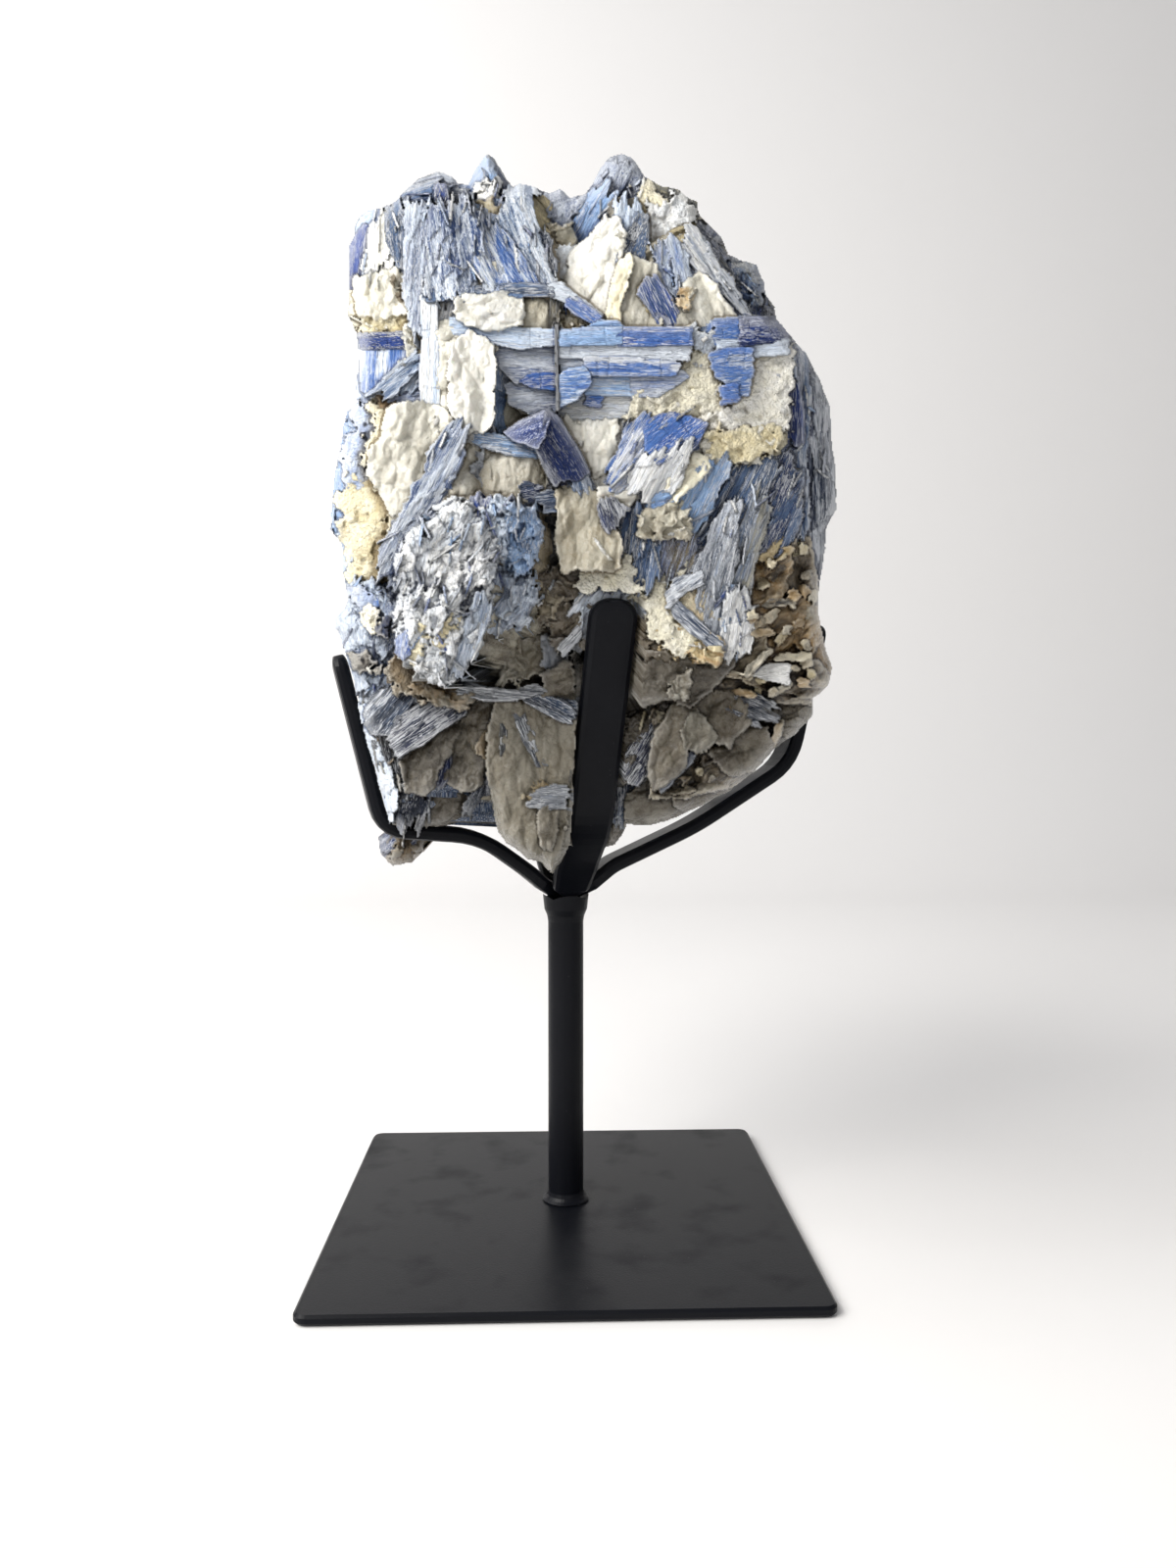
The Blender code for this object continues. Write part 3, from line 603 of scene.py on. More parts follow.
PEAK = (
    ("fibre", -0.2, -0.1, 0.5, 74, "silver", "storm", 1.0, 603, 198, 607, 184, 615, 168, 624, 159, 636,
     156, 647, 161, 652, 172, 661, 184, 664, 198, 640, 206, 618, 206),
    ("fibre", -1.3, -0.4, 0.4, 62, "pale_blue", "storm", 0.9, 583, 244, 586, 220, 597, 200, 608, 190, 622,
     194, 630, 200, 620, 220, 606, 240, 594, 258),
    ("quartz", -2.5, -0.3, 0.35, 60, "milk", "white", 0.7, 582, 268, 590, 252, 606, 238, 618, 222, 632,
     224, 636, 240, 632, 262, 627, 288, 620, 318, 614, 336, 600, 328, 580, 310, 573, 298),
    ("fibre", -2.1, 0, 0.4, 84, "ice", "pale_blue", 0.8, 626, 214, 636, 205, 650, 208, 657, 222, 648, 240,
     641, 262, 632, 262, 630, 236),
    ("blade", -2.45, 0.3, 0.3, 66, "steel", "ink", 0.9, 627, 278, 632, 258, 641, 240, 650, 221, 659, 222,
     660, 240, 656, 262, 645, 264, 635, 280),
    ("crust", -1.5, 0.1, 0.6, 20, "cream", "straw", 0.7, 648, 196, 660, 190, 676, 196, 684, 206, 676, 217,
     660, 220, 651, 216),
    ("crust", -1.9, 0.25, 0.4, 80, "white", "ice", 0.7, 655, 222, 668, 212, 684, 206, 702, 203, 707, 217,
     697, 237, 690, 252, 676, 250, 666, 268, 656, 268, 658, 242),
    ("quartz", -2.95, -0.05, 0.2, 80, "beige", "milk", 0.7, 640, 262, 654, 266, 668, 270, 674, 288, 657,
     300, 668, 322, 676, 340, 624, 340, 628, 312, 632, 286),
    ("quartz", -3.0, -0.4, 0.2, 78, "cream", "straw", 0.6, 636, 268, 644, 262, 640, 286, 632, 306, 630,
     338, 616, 337, 624, 310, 628, 286),
    ("fibre", -2.6, 0.2, 0.3, 100, "ice", "blue", 0.9, 667, 252, 684, 242, 697, 250, 703, 280, 702, 300,
     692, 316, 680, 304, 672, 282),
    ("blade", -3.2, 0.2, 0.1, 117, "storm", "deep_blue", 0.9, 653, 298, 661, 286, 669, 282, 681, 300, 692,
     320, 683, 337, 676, 334),
    ("quartz", -2.9, 0.1, 0.25, 110, "milk", "beige", 0.6, 684, 338, 690, 316, 700, 290, 713, 281, 728,
     292, 742, 312, 752, 332, 722, 340),
    ("rough", -3.0, 0.1, 0.2, 100, "gold", "cream", 0.6, 694, 306, 698, 294, 704, 295, 702, 306, 697,
     313),
    ("fibre", -2.35, 0.3, 0.3, 126, "white", "steel", 0.9, 694, 246, 700, 232, 706, 232, 722, 256, 742,
     284, 757, 305, 768, 330, 744, 332, 732, 300, 712, 280),
    ("lump", -0.6, 0.6, 0.5, 128, "olive", "straw", 0.7, 656, 186, 668, 185, 684, 192, 698, 192, 708, 206,
     714, 212, 716, 222, 706, 232, 694, 212, 676, 202, 658, 202),
    ("lump", -0.3, 0.6, 0.4, 126, "olive", "storm", 0.9, 706, 216, 718, 222, 728, 230, 737, 240, 740, 262,
     752, 286, 740, 290, 720, 256, 704, 234),
    ("lump", 0.0, 0.6, 0.3, 110, "steel", "olive", 0.9, 738, 264, 750, 265, 766, 268, 776, 276, 781, 290,
     779, 304, 770, 330, 756, 318, 744, 290),
    ("lump", 0.3, 0.6, 0.3, 90, "olive", "storm", 0.9, 768, 312, 780, 307, 790, 312, 793, 328, 790, 345,
     768, 340),
    ("blade", -3.4, 0.1, 0.5, -35, "blue", "deep_blue", 0.7, 576, 310, 584, 302, 600, 314, 613, 325, 606,
     329, 590, 321),
    ("crust", -3.0, 0, 0.2, 10, "milk", "straw", 0.7, 574, 316, 592, 318, 606, 328, 612, 338, 574, 340),
)

LEFT_PLATES = (
    ("quartz", -2.5, -0.35, 0.05, 85, "milk", "cream", 0.5, 364, 284, 380, 282, 400, 276, 411, 284, 414,
     318, 392, 323, 368, 321, 362, 302),
    ("crust", -2.55, -0.3, 0.05, 80, "tan", "brown", 0.8, 394, 286, 402, 284, 405, 300, 402, 316, 394,
     316),
    ("crust", -1.9, -0.6, 0, 80, "cream", "milk", 0.5, 355, 302, 368, 304, 372, 322, 372, 342, 364, 338,
     355, 322),
    ("crust", -2.6, -0.25, 0.1, 10, "straw", "cream", 0.8, 369, 319, 392, 322, 413, 318, 415, 338, 392,
     342, 371, 343),
    # Partly painted shade: a deep-blue band darkened with ink where the ledge above throws shade
    ("plate", -2.75, -0.3, -0.3, 2, "deep_blue", "ink", 0.8, 368, 342, 414, 341, 419, 353, 370, 354),
    ("plate", -2.7, -0.3, 0.05, 88, "blue", "ice", 0.8, 369, 352, 392, 351, 413, 348, 419, 360, 406, 382,
     396, 398, 371, 398),
    ("blade", -1.6, -0.8, 0, 88, "ice", "pale_blue", 0.6, 364, 345, 371, 346, 373, 400, 377, 418, 366,
     418, 362, 395),
    ("fibre", -3.0, -0.2, 0.2, 38, "steel", "ice", 0.8, 379, 402, 392, 392, 410, 370, 428, 358, 436, 368,
     418, 386, 396, 406),
    ("fibre", -2.9, -0.1, 0.1, 60, "ice", "steel", 0.8, 404, 380, 420, 366, 434, 352, 434, 392, 414, 398),
    ("blade", -2.95, -0.2, 0.1, 5, "ice", "blue", 0.8, 398, 388, 418, 382, 432, 380, 432, 412, 414, 413,
     396, 408),
    ("plate", -3.45, -0.1, 0.1, 88, "white", "pale_blue", 0.7, 431, 302, 443, 304, 445, 350, 447, 418,
     432, 416, 430, 380, 433, 344),
    ("crust", -3.1, -0.1, 0.1, 88, "cream", "silver", 0.8, 410, 340, 432, 338, 432, 372, 420, 376, 412,
     356),
    ("crust", -2.9, -0.2, 0.3, 10, "gold", "slate", 0.7, 384, 402, 400, 400, 412, 406, 404, 414, 386,
     412),
    ("fibre", -3.15, 0, 0.1, 80, "silver", "tan", 0.8, 442, 303, 467, 304, 470, 328, 450, 333, 443, 322),
    ("quartz", -3.35, 0, 0.1, 3, "milk", "silver", 0.6, 464, 304, 506, 301, 530, 302, 534, 330, 500, 336,
     466, 326),
    ("quartz", -3.1, 0.1, 0.1, 80, "beige", "tan", 0.6, 528, 304, 548, 301, 556, 312, 556, 336, 528, 334),
    ("fibre", -3.1, 0.1, 0.1, 84, "tan", "beige", 0.7, 549, 304, 568, 302, 570, 336, 554, 338),
    ("plate", -3.45, 0, 0.2, -6, "ice", "pale_blue", 0.9, 460, 326, 484, 330, 520, 336, 568, 339, 569,
     350, 530, 354, 500, 348, 462, 338),
    ("plate", -3.35, 0, 0.15, -4, "silver", "storm", 0.9, 500, 350, 530, 352, 568, 350, 568, 378, 544,
     380, 526, 390, 508, 368),
    ("quartz", -3.25, 0, 0.15, 4, "milk", "beige", 0.6, 449, 330, 480, 332, 506, 346, 504, 360, 470, 362,
     450, 352),
    ("quartz", -3.75, -0.15, 0.12, 100, "milk", "white", 0.6, 466, 352, 478, 340, 490, 344, 501, 356, 504,
     384, 501, 416, 497, 436, 474, 440, 462, 420, 460, 384),
    ("quartz", -3.55, -0.3, 0.1, 80, "milk", "beige", 0.6, 448, 356, 462, 350, 468, 362, 466, 400, 470,
     436, 456, 430, 449, 396),
    ("crust", -3.25, -0.4, 0.05, 88, "straw", "milk", 0.7, 445, 352, 452, 352, 454, 396, 456, 414, 449,
     412, 446, 384),
    ("quartz", -2.7, 0.1, 0.05, 85, "brown", "tan", 0.7, 500, 360, 520, 362, 526, 392, 522, 430, 512, 448,
     498, 446, 498, 400),
    ("quartz", -2.85, 0.1, 0.05, 85, "beige", "olive", 0.7, 520, 404, 545, 410, 566, 420, 548, 430, 516,
     444, 514, 424),
    ("plate", -3.35, 0.05, 0.15, 3, "silver", "storm", 0.8, 518, 394, 540, 386, 566, 388, 567, 424, 546,
     422, 520, 410),
    ("plate", -3.42, 0.05, 0.2, 3, "blue", "deep_blue", 0.7, 533, 388, 546, 380, 565, 378, 565, 396, 544,
     394),
)

BLUE_SLAB = (
    ("plate", -3.95, 0, 0.1, 0, "pale_blue", "blue", 0.7, 573, 339, 600, 336, 633, 336, 633, 349, 574,
     351),
    ("plate", -3.7, 0, 0.3, 8, "pale_blue", "blue", 0.7, 590, 340, 612, 329, 628, 330, 640, 341),
    ("plate", -3.95, 0, 0.1, 0, "blue", "deep_blue", 0.9, 631, 336, 704, 336, 705, 350, 632, 351),
    ("plate", -3.75, 0.1, 0.15, 2, "blue", "steel", 0.7, 730, 328, 757, 326, 757, 351, 731, 350),
    ("plate", -3.7, 0.25, 0.15, 2, "navy", "deep_blue", 0.7, 756, 326, 780, 325, 797, 326, 805, 336, 804,
     348, 786, 347, 757, 351),
    ("plate", -3.9, 0, 0.02, 0, "silver", "ice", 0.7, 573, 351, 704, 350, 702, 366, 640, 364, 574, 363),
    ("plate", -3.95, 0, -0.05, -1, "blue", "silver", 0.9, 598, 366, 640, 366, 692, 372, 688, 381, 640,
     382, 599, 381),
    ("plate", -3.85, 0, 0.05, 0, "silver", "steel", 0.8, 573, 364, 600, 366, 600, 379, 574, 378),
    ("plate", -3.8, 0, 0, 0, "pale_blue", "silver", 0.8, 596, 381, 640, 381, 664, 382, 652, 396, 646, 402,
     598, 400),
    ("plate", -4.0, -0.05, 0, 2, "blue", "pale_blue", 0.8, 571, 386, 580, 378, 594, 376, 601, 382, 601,
     392, 590, 404, 572, 414),
    ("plate", -3.7, 0, -0.05, 0, "silver", "beige", 0.7, 574, 412, 590, 404, 604, 399, 650, 402, 656, 420,
     640, 425, 576, 427),
    ("plate", -3.78, 0, 0, 0, "blue", "deep_blue", 0.8, 600, 402, 613, 401, 612, 414, 600, 412),
    ("plate", -3.8, 0, 0, 2, "silver", "blue", 0.9, 644, 384, 690, 378, 700, 384, 672, 402, 646, 404),
    ("crust", -3.75, 0.05, 0, 20, "cream", "milk", 0.7, 650, 404, 668, 392, 690, 380, 704, 352, 712, 352,
     726, 360, 732, 388, 742, 400, 738, 420, 700, 425, 660, 428, 642, 422),
    ("crust", -3.8, 0, 0.1, 85, "ice", "slate", 0.7, 702, 338, 716, 336, 730, 330, 731, 352, 722, 366,
     704, 360),
    ("plate", -3.95, 0.05, 0, 4, "blue", "steel", 0.7, 725, 362, 744, 357, 766, 357, 766, 378, 763, 402,
     746, 400, 742, 388, 731, 384),
    ("plate", -4.0, 0.05, 0, 0, "blue", "deep_blue", 0.7, 737, 396, 752, 393, 752, 408, 738, 411),
    ("plate", -3.75, 0.1, 0.1, 2, "ice", "steel", 0.6, 733, 350, 803, 348, 803, 360, 766, 362, 734, 360),
    ("crust", -3.65, 0.15, -0.02, 40, "white", "cream", 0.6, 766, 362, 803, 352, 807, 388, 803, 440, 790,
     460, 764, 470, 720, 466, 710, 444, 712, 424, 740, 414, 762, 402),
    ("crust", -3.75, 0.1, -0.1, 20, "straw", "cream", 0.7, 722, 440, 760, 436, 800, 440, 786, 462, 760,
     472, 724, 466),
    ("plate", -2.9, 0.7, 0, 93, "navy", "deep_blue", 0.8, 802, 386, 812, 383, 818, 420, 818, 452, 812,
     453, 806, 430),
    ("fibre", -2.9, 0.5, 0, 96, "ice", "steel", 0.7, 797, 345, 804, 347, 811, 382, 803, 400, 799, 376),
    ("fibre", -2.3, 0.5, 0.1, 92, "steel", "silver", 1.0, 803, 338, 812, 346, 822, 362, 824, 400, 822,
     470, 824, 545, 812, 545, 814, 480, 816, 430, 812, 384),
    ("fibre", -1.6, 0.6, 0.1, 92, "slate", "silver", 1.0, 812, 344, 822, 360, 834, 380, 843, 400, 848,
     440, 852, 480, 854, 515, 848, 545, 840, 576, 836, 612, 824, 612, 822, 540, 820, 440, 818, 380),
    ("shard", -3.97, 0, 0.05, 90, "ink", "ink", 0.2, 566, 331, 570, 331, 571, 420, 567, 420),
)

LEFT_QUARTZ = (
    ("lump", -1.2, -0.9, 0, 78, "pale_blue", "steel", 0.7, 354, 417, 360, 415, 368, 424, 366, 452, 360,
     490, 352, 520, 346, 546, 337, 532, 341, 492, 347, 450),
    ("crust", -1.9, -0.7, 0, 82, "ice", "blue", 0.8, 360, 420, 380, 411, 386, 424, 380, 446, 376, 470,
     380, 496, 358, 504, 354, 470),
    ("crust", -2.9, -0.4, 0, 84, "cream", "straw", 0.7, 380, 416, 398, 413, 396, 434, 391, 450, 386, 464,
     378, 478, 371, 470, 378, 446),
    ("quartz", -3.6, -0.12, -0.05, 76, "milk", "beige", 0.7, 396, 416, 420, 412, 452, 414, 459, 428, 452,
     444, 440, 470, 432, 492, 414, 516, 400, 524, 391, 504, 378, 484, 376, 470, 388, 448),
    ("fibre", -3.8, -0.2, 0, 64, "storm", "ice", 0.8, 457, 440, 440, 460, 438, 480, 425, 495, 420, 510,
     405, 530, 398, 545, 388, 560, 386, 572, 392, 590, 402, 600, 406, 590, 407, 575, 408, 560, 412, 540,
     430, 525, 448, 512, 460, 490, 468, 470, 473, 455, 475, 440, 466, 434),
    ("crust", -3.75, 0, 0.2, 10, "white", "ink", 0.8, 448, 418, 458, 414, 466, 428, 484, 434, 494, 440,
     478, 450, 462, 442, 450, 432),
    ("blade", -3.5, 0.1, 0.1, 104, "silver", "slate", 0.8, 488, 418, 494, 414, 500, 428, 505, 446, 496,
     448, 489, 436),
    ("quartz", -3.75, 0.05, 0.1, 72, "milk", "tan", 0.7, 474, 446, 500, 452, 530, 460, 552, 464, 557, 478,
     553, 502, 540, 513, 500, 512, 470, 512, 450, 514, 462, 492, 470, 466),
    ("crust", -3.8, 0.05, 0.15, 20, "beige", "cream", 0.7, 522, 466, 540, 464, 552, 470, 552, 490, 530,
     496, 519, 484),
    ("blade", -3.85, 0, 0.4, -8, "pale_blue", "slate", 0.8, 478, 441, 500, 444, 540, 451, 556, 458, 550,
     466, 520, 462, 492, 454),
    ("crust", -3.82, 0, 0, 85, "slate", "silver", 0.9, 482, 466, 489, 464, 491, 480, 488, 497, 482, 490),
    ("plate", -4.35, -0.75, 0.5, 20, "navy", "deep_blue", 0.6, 516, 442, 532, 431, 560, 419, 557, 436,
     549, 455, 530, 450),
    ("plate", -4.4, 0.25, -0.1, -58, "navy", "ink", 0.35, 559, 419, 570, 429, 588, 458, 600, 482, 590,
     488, 578, 486, 567, 494, 557, 478, 548, 455, 556, 436),
    ("fibre", -4.0, 0.3, 0, 110, "steel", "silver", 0.7, 587, 478, 596, 478, 604, 500, 600, 507, 588,
     500),
    ("quartz", -3.4, 0.1, -0.3, 85, "slate", "ink", 0.7, 547, 502, 562, 500, 572, 520, 577, 540, 574, 584,
     552, 584, 546, 560, 542, 530),
    ("blade", -3.9, 0.1, 0, 10, "slate", "navy", 0.7, 532, 500, 540, 492, 551, 498, 552, 510, 540, 513),
    ("blade", -4.0, 0.1, 0.1, 10, "slate", "steel", 0.7, 549, 506, 560, 502, 569, 503, 571, 521, 558,
     522),
    ("crust", -1.9, -0.7, 0, 84, "straw", "cream", 0.9, 345, 508, 362, 496, 382, 498, 392, 514, 394, 540,
     389, 566, 386, 594, 362, 595, 356, 574, 356, 556, 346, 536),
    ("lump", -1.4, -0.8, 0, 90, "ice", "pale_blue", 0.6, 346, 540, 356, 552, 358, 592, 348, 594, 346,
     566),
    ("lump", -2.0, -0.7, -0.1, 84, "ice", "steel", 0.8, 342, 632, 350, 598, 372, 590, 400, 596, 408, 630,
     402, 676, 384, 696, 366, 706, 357, 692, 350, 664, 341, 646),
    ("crust", -2.4, -0.5, 0, 60, "blue", "ice", 0.8, 360, 600, 374, 596, 384, 606, 376, 622, 364, 616),
    ("crust", -2.5, -0.5, 0, 60, "cream", "white", 0.7, 370, 624, 384, 618, 388, 634, 378, 646, 369, 638),
    ("crust", -2.75, -0.3, 0, 60, "slate", "navy", 0.8, 384, 636, 396, 630, 404, 640, 396, 650, 386, 648),
    ("crust", -2.6, -0.4, -0.2, 40, "brown", "slate", 0.8, 358, 674, 376, 668, 388, 674, 380, 686, 364,
     684),
)

PALE_MASS = (
    ("lump", -4.6, -0.25, 0, 78, "white", "ice", 0.75, 406, 566, 414, 546, 428, 536, 448, 520, 472, 512,
     492, 516, 504, 540, 506, 572, 500, 616, 492, 650, 476, 680, 460, 695, 440, 690, 420, 681, 408, 668,
     404, 640, 409, 604),
    ("lump", -4.75, -0.2, 0.1, 70, "white", "silver", 0.6, 444, 546, 468, 532, 490, 540, 500, 566, 492,
     596, 470, 612, 450, 596, 442, 568),
    ("lump", -4.6, -0.2, 0.2, 10, "white", "ice", 0.7, 448, 516, 466, 510, 478, 520, 476, 534, 458, 538,
     448, 528),
    ("lump", -4.65, 0.1, 0, 86, "ice", "pale_blue", 0.8, 493, 526, 504, 512, 518, 512, 519, 540, 514, 566,
     505, 570, 497, 550),
    ("lump", -4.55, 0.25, 0, 82, "pale_blue", "steel", 0.9, 516, 516, 530, 511, 545, 514, 548, 532, 552,
     560, 546, 576, 530, 586, 519, 576, 517, 546),
    ("lump", -4.35, 0.2, -0.2, 70, "ice", "steel", 0.9, 490, 590, 504, 576, 524, 584, 544, 592, 548, 612,
     536, 632, 514, 644, 490, 652, 482, 634),
    ("lump", -4.8, -0.1, -0.15, 74, "white", "ice", 0.6, 412, 612, 440, 602, 466, 606, 474, 640, 462, 676,
     450, 692, 424, 680, 412, 650),
    ("crust", -4.95, -0.1, -0.1, 70, "straw", "cream", 0.8, 444, 644, 450, 635, 462, 634, 460, 652, 451,
     662, 443, 656),
    ("crust", -4.85, -0.2, -0.15, 80, "cream", "straw", 0.8, 417, 648, 426, 643, 434, 654, 430, 674, 422,
     678, 416, 664),
    ("blade", -4.75, -0.5, -0.1, 80, "deep_blue", "blue", 0.8, 405, 652, 414, 646, 417, 664, 411, 672,
     406, 664),
    ("blade", -4.6, 0.1, 0.2, 80, "deep_blue", "navy", 0.7, 482, 508, 501, 508, 495, 522, 490, 526),
    ("fibre", -4.8, 0.1, -0.1, 78, "ice", "steel", 0.9, 462, 690, 472, 660, 478, 630, 486, 606, 498, 612,
     496, 640, 482, 668, 470, 690),
)

CENTRE = (
    ("quartz", -3.6, 0, 0.1, 85, "milk", "white", 0.4, 573, 428, 600, 424, 628, 428, 628, 452, 622, 480,
     606, 486, 596, 470, 584, 448),
    ("fibre", -3.9, 0, 0.1, 60, "blue", "white", 0.9, 619, 498, 624, 476, 634, 452, 642, 430, 664, 429,
     672, 440, 660, 464, 650, 476, 640, 498),
    ("plate", -4.0, 0.05, 0.3, 40, "blue", "deep_blue", 0.8, 660, 432, 680, 423, 700, 426, 720, 434, 712,
     450, 704, 460, 686, 462, 672, 472, 660, 458),
    ("fibre", -4.0, 0, 0, 63, "white", "silver", 0.7, 630, 500, 644, 476, 658, 464, 676, 468, 690, 459,
     704, 458, 698, 480, 686, 502, 660, 518, 648, 504),
    ("quartz", -3.85, 0.05, 0.1, 60, "cream", "white", 0.4, 690, 478, 702, 458, 720, 466, 722, 478, 706,
     496, 690, 508, 682, 500),
    ("fibre", -3.75, 0.1, 0, 64, "pale_blue", "steel", 0.8, 690, 512, 704, 494, 718, 474, 738, 468, 740,
     486, 728, 512, 716, 534, 704, 548, 696, 532),
    ("quartz", -4.15, -0.1, 0.12, 82, "tan", "beige", 0.7, 568, 502, 594, 498, 612, 504, 616, 530, 628,
     544, 633, 562, 630, 580, 574, 582, 570, 556, 572, 528),
    ("quartz", -4.0, 0.1, 0.2, 10, "milk", "white", 0.4, 612, 502, 630, 499, 644, 506, 640, 520, 624, 514,
     614, 510),
    ("blade", -4.3, 0.1, 0.1, 110, "navy", "ink", 0.7, 613, 514, 620, 509, 640, 518, 633, 530, 622, 542,
     616, 533, 612, 524),
    ("rough", -3.95, 0, 0.2, 30, "beige", "tan", 0.7, 650, 530, 664, 520, 684, 506, 698, 508, 704, 530,
     700, 548, 676, 548, 656, 544),
    ("blade", -4.0, 0, 0.1, 20, "pale_blue", "blue", 0.6, 659, 506, 686, 502, 682, 515, 668, 522),
    ("crust", -3.98, 0.1, 0, 60, "brown", "smoky", 0.6, 688, 522, 698, 520, 702, 536, 692, 540),
    ("fibre", -3.85, -0.1, 0, 84, "steel", "slate", 0.9, 630, 556, 638, 528, 654, 524, 664, 540, 671, 560,
     672, 590, 656, 604, 646, 596, 648, 572, 634, 574),
    ("fibre", -3.8, 0.1, 0, 74, "tan", "blue", 0.8, 670, 548, 700, 544, 712, 548, 706, 570, 694, 586, 672,
     592, 668, 570),
    ("crust", -3.95, -0.1, 0.1, 20, "milk", "cream", 0.8, 600, 578, 614, 562, 630, 558, 646, 574, 652,
     604, 636, 606, 598, 602),
    ("fibre", -3.6, -0.1, 0, 60, "ice", "silver", 0.7, 590, 604, 604, 592, 624, 588, 648, 600, 656, 622,
     644, 640, 600, 640, 586, 622),
    ("rough", -3.4, 0, -0.2, 60, "smoky", "brown", 0.8, 540, 590, 560, 584, 580, 580, 602, 590, 606, 620,
     590, 650, 572, 664, 556, 640, 542, 620),
    ("blade", -3.55, 0, 0, 45, "silver", "ink", 0.8, 572, 662, 590, 640, 604, 630, 606, 637, 590, 652,
     576, 667),
    ("rough", -3.5, 0, 0, 20, "tan", "brown", 0.8, 548, 612, 560, 604, 570, 616, 562, 630, 550, 626),
)

RIGHT_BLADES = (
    ("fibre", -3.5, 0.1, 0.1, 66, "steel", "slate", 1.0, 716, 534, 728, 500, 740, 478, 762, 470, 790, 466,
     796, 478, 770, 512, 752, 532, 736, 540, 722, 556),
    ("fibre", -3.8, 0.1, 0, 75, "silver", "slate", 1.0, 708, 592, 718, 560, 734, 524, 746, 508, 756, 512,
     752, 544, 750, 576, 742, 604, 732, 640, 722, 652, 716, 622),
    ("fibre", -3.6, 0.15, 0, 74, "beige", "steel", 0.9, 748, 600, 751, 556, 758, 520, 776, 498, 784, 520,
     774, 556, 766, 590, 762, 620, 754, 640),
    ("fibre", -3.2, 0.35, 0, 66, "steel", "navy", 1.0, 764, 560, 772, 520, 788, 484, 802, 458, 816, 482,
     820, 516, 808, 548, 788, 562),
    ("blade", -3.85, 0, 0, 82, "pale_blue", "slate", 0.9, 726, 640, 730, 606, 742, 596, 750, 600, 744,
     628, 734, 656),
    ("fibre", -3.75, 0.05, -0.05, 80, "white", "silver", 0.7, 736, 652, 740, 622, 748, 600, 758, 600, 768,
     640, 762, 664, 746, 674, 737, 664),
    ("crust", -3.9, -0.05, 0.05, 70, "cream", "milk", 0.8, 652, 620, 660, 600, 680, 588, 700, 584, 706,
     600, 690, 614, 704, 628, 720, 646, 712, 658, 698, 668, 678, 664, 664, 642),
    ("crust", -3.95, 0.05, 0.05, 50, "cream", "gold", 0.8, 690, 610, 704, 600, 728, 602, 730, 640, 714,
     632, 700, 622),
    ("crust", -3.95, 0, -0.15, 30, "gold", "straw", 0.9, 676, 648, 688, 638, 704, 640, 704, 656, 690, 668,
     678, 662),
    ("blade", -4.05, 0, 0.1, -40, "slate", "silver", 0.9, 682, 614, 694, 618, 714, 636, 736, 658, 730,
     663, 710, 647, 690, 628),
    ("blade", -4.05, 0, 0.2, 35, "slate", "silver", 0.9, 680, 606, 690, 592, 714, 586, 718, 594, 702, 600,
     690, 612, 683, 618),
    ("rough", -3.95, 0, -0.1, 30, "gold", "straw", 0.9, 700, 664, 716, 652, 732, 654, 740, 668, 732, 677,
     716, 672),
    ("rough", -3.7, -0.1, -0.2, 20, "brown", "smoky", 0.8, 644, 636, 660, 640, 682, 664, 690, 672, 646,
     674, 640, 656),
    ("mica", -3.3, 0.1, -0.1, 30, "tan", "brown", 0.9, 752, 640, 766, 620, 782, 640, 780, 668, 764, 690,
     744, 690, 740, 676),
)

MICA_BOOKS = (
    ("mica", -2.9, 0.45, 0.1, 40, "bronze", "brown", 0.9, 764, 560, 790, 548, 806, 546, 806, 580, 796,
     610, 770, 616, 762, 590),
    ("mica", -3.05, 0.3, 0.4, 50, "straw", "gold", 0.8, 772, 566, 790, 552, 802, 550, 800, 568, 784, 576),
    ("mica", -2.3, 0.7, 0, 80, "brown", "smoky", 0.9, 800, 560, 808, 548, 824, 548, 830, 580, 834, 616,
     820, 622, 806, 606),
    ("mica", -2.7, 0.5, 0, 30, "bronze", "brown", 0.9, 764, 622, 790, 608, 816, 612, 834, 622, 838, 648,
     820, 672, 790, 676, 768, 660),
    ("mica", -2.8, 0.4, 0.3, 20, "gold", "bronze", 0.8, 772, 624, 796, 612, 812, 624, 796, 634, 776, 634),
    ("mica", -2.6, 0.6, 0.1, 60, "gold", "bronze", 0.8, 804, 640, 826, 630, 838, 650, 828, 664, 810, 656),
    ("mica", -1.9, 0.8, 0, 85, "bronze", "smoky", 0.9, 828, 620, 836, 618, 840, 646, 848, 668, 851, 680,
     846, 702, 832, 700, 826, 660),
    ("mica", -2.6, 0.5, -0.3, 10, "brown", "ink", 0.8, 762, 668, 800, 672, 836, 676, 846, 698, 832, 712,
     796, 706, 760, 694),
    # Painted highlight: a white plate paints the glint of a mica flake that catches the light
    ("plate", -3.5, 0.1, 0.5, 10, "white", "white", 0.1, 767, 687, 784, 680, 803, 680, 802, 697, 788,
     693),
    # Partly painted shade: a smoky band darkened with ink in the recess under the mica books
    ("mica", -2.5, 0.4, -0.4, 5, "smoky", "ink", 0.8, 706, 700, 740, 692, 780, 696, 836, 706, 830, 718,
     780, 714, 712, 712),
)

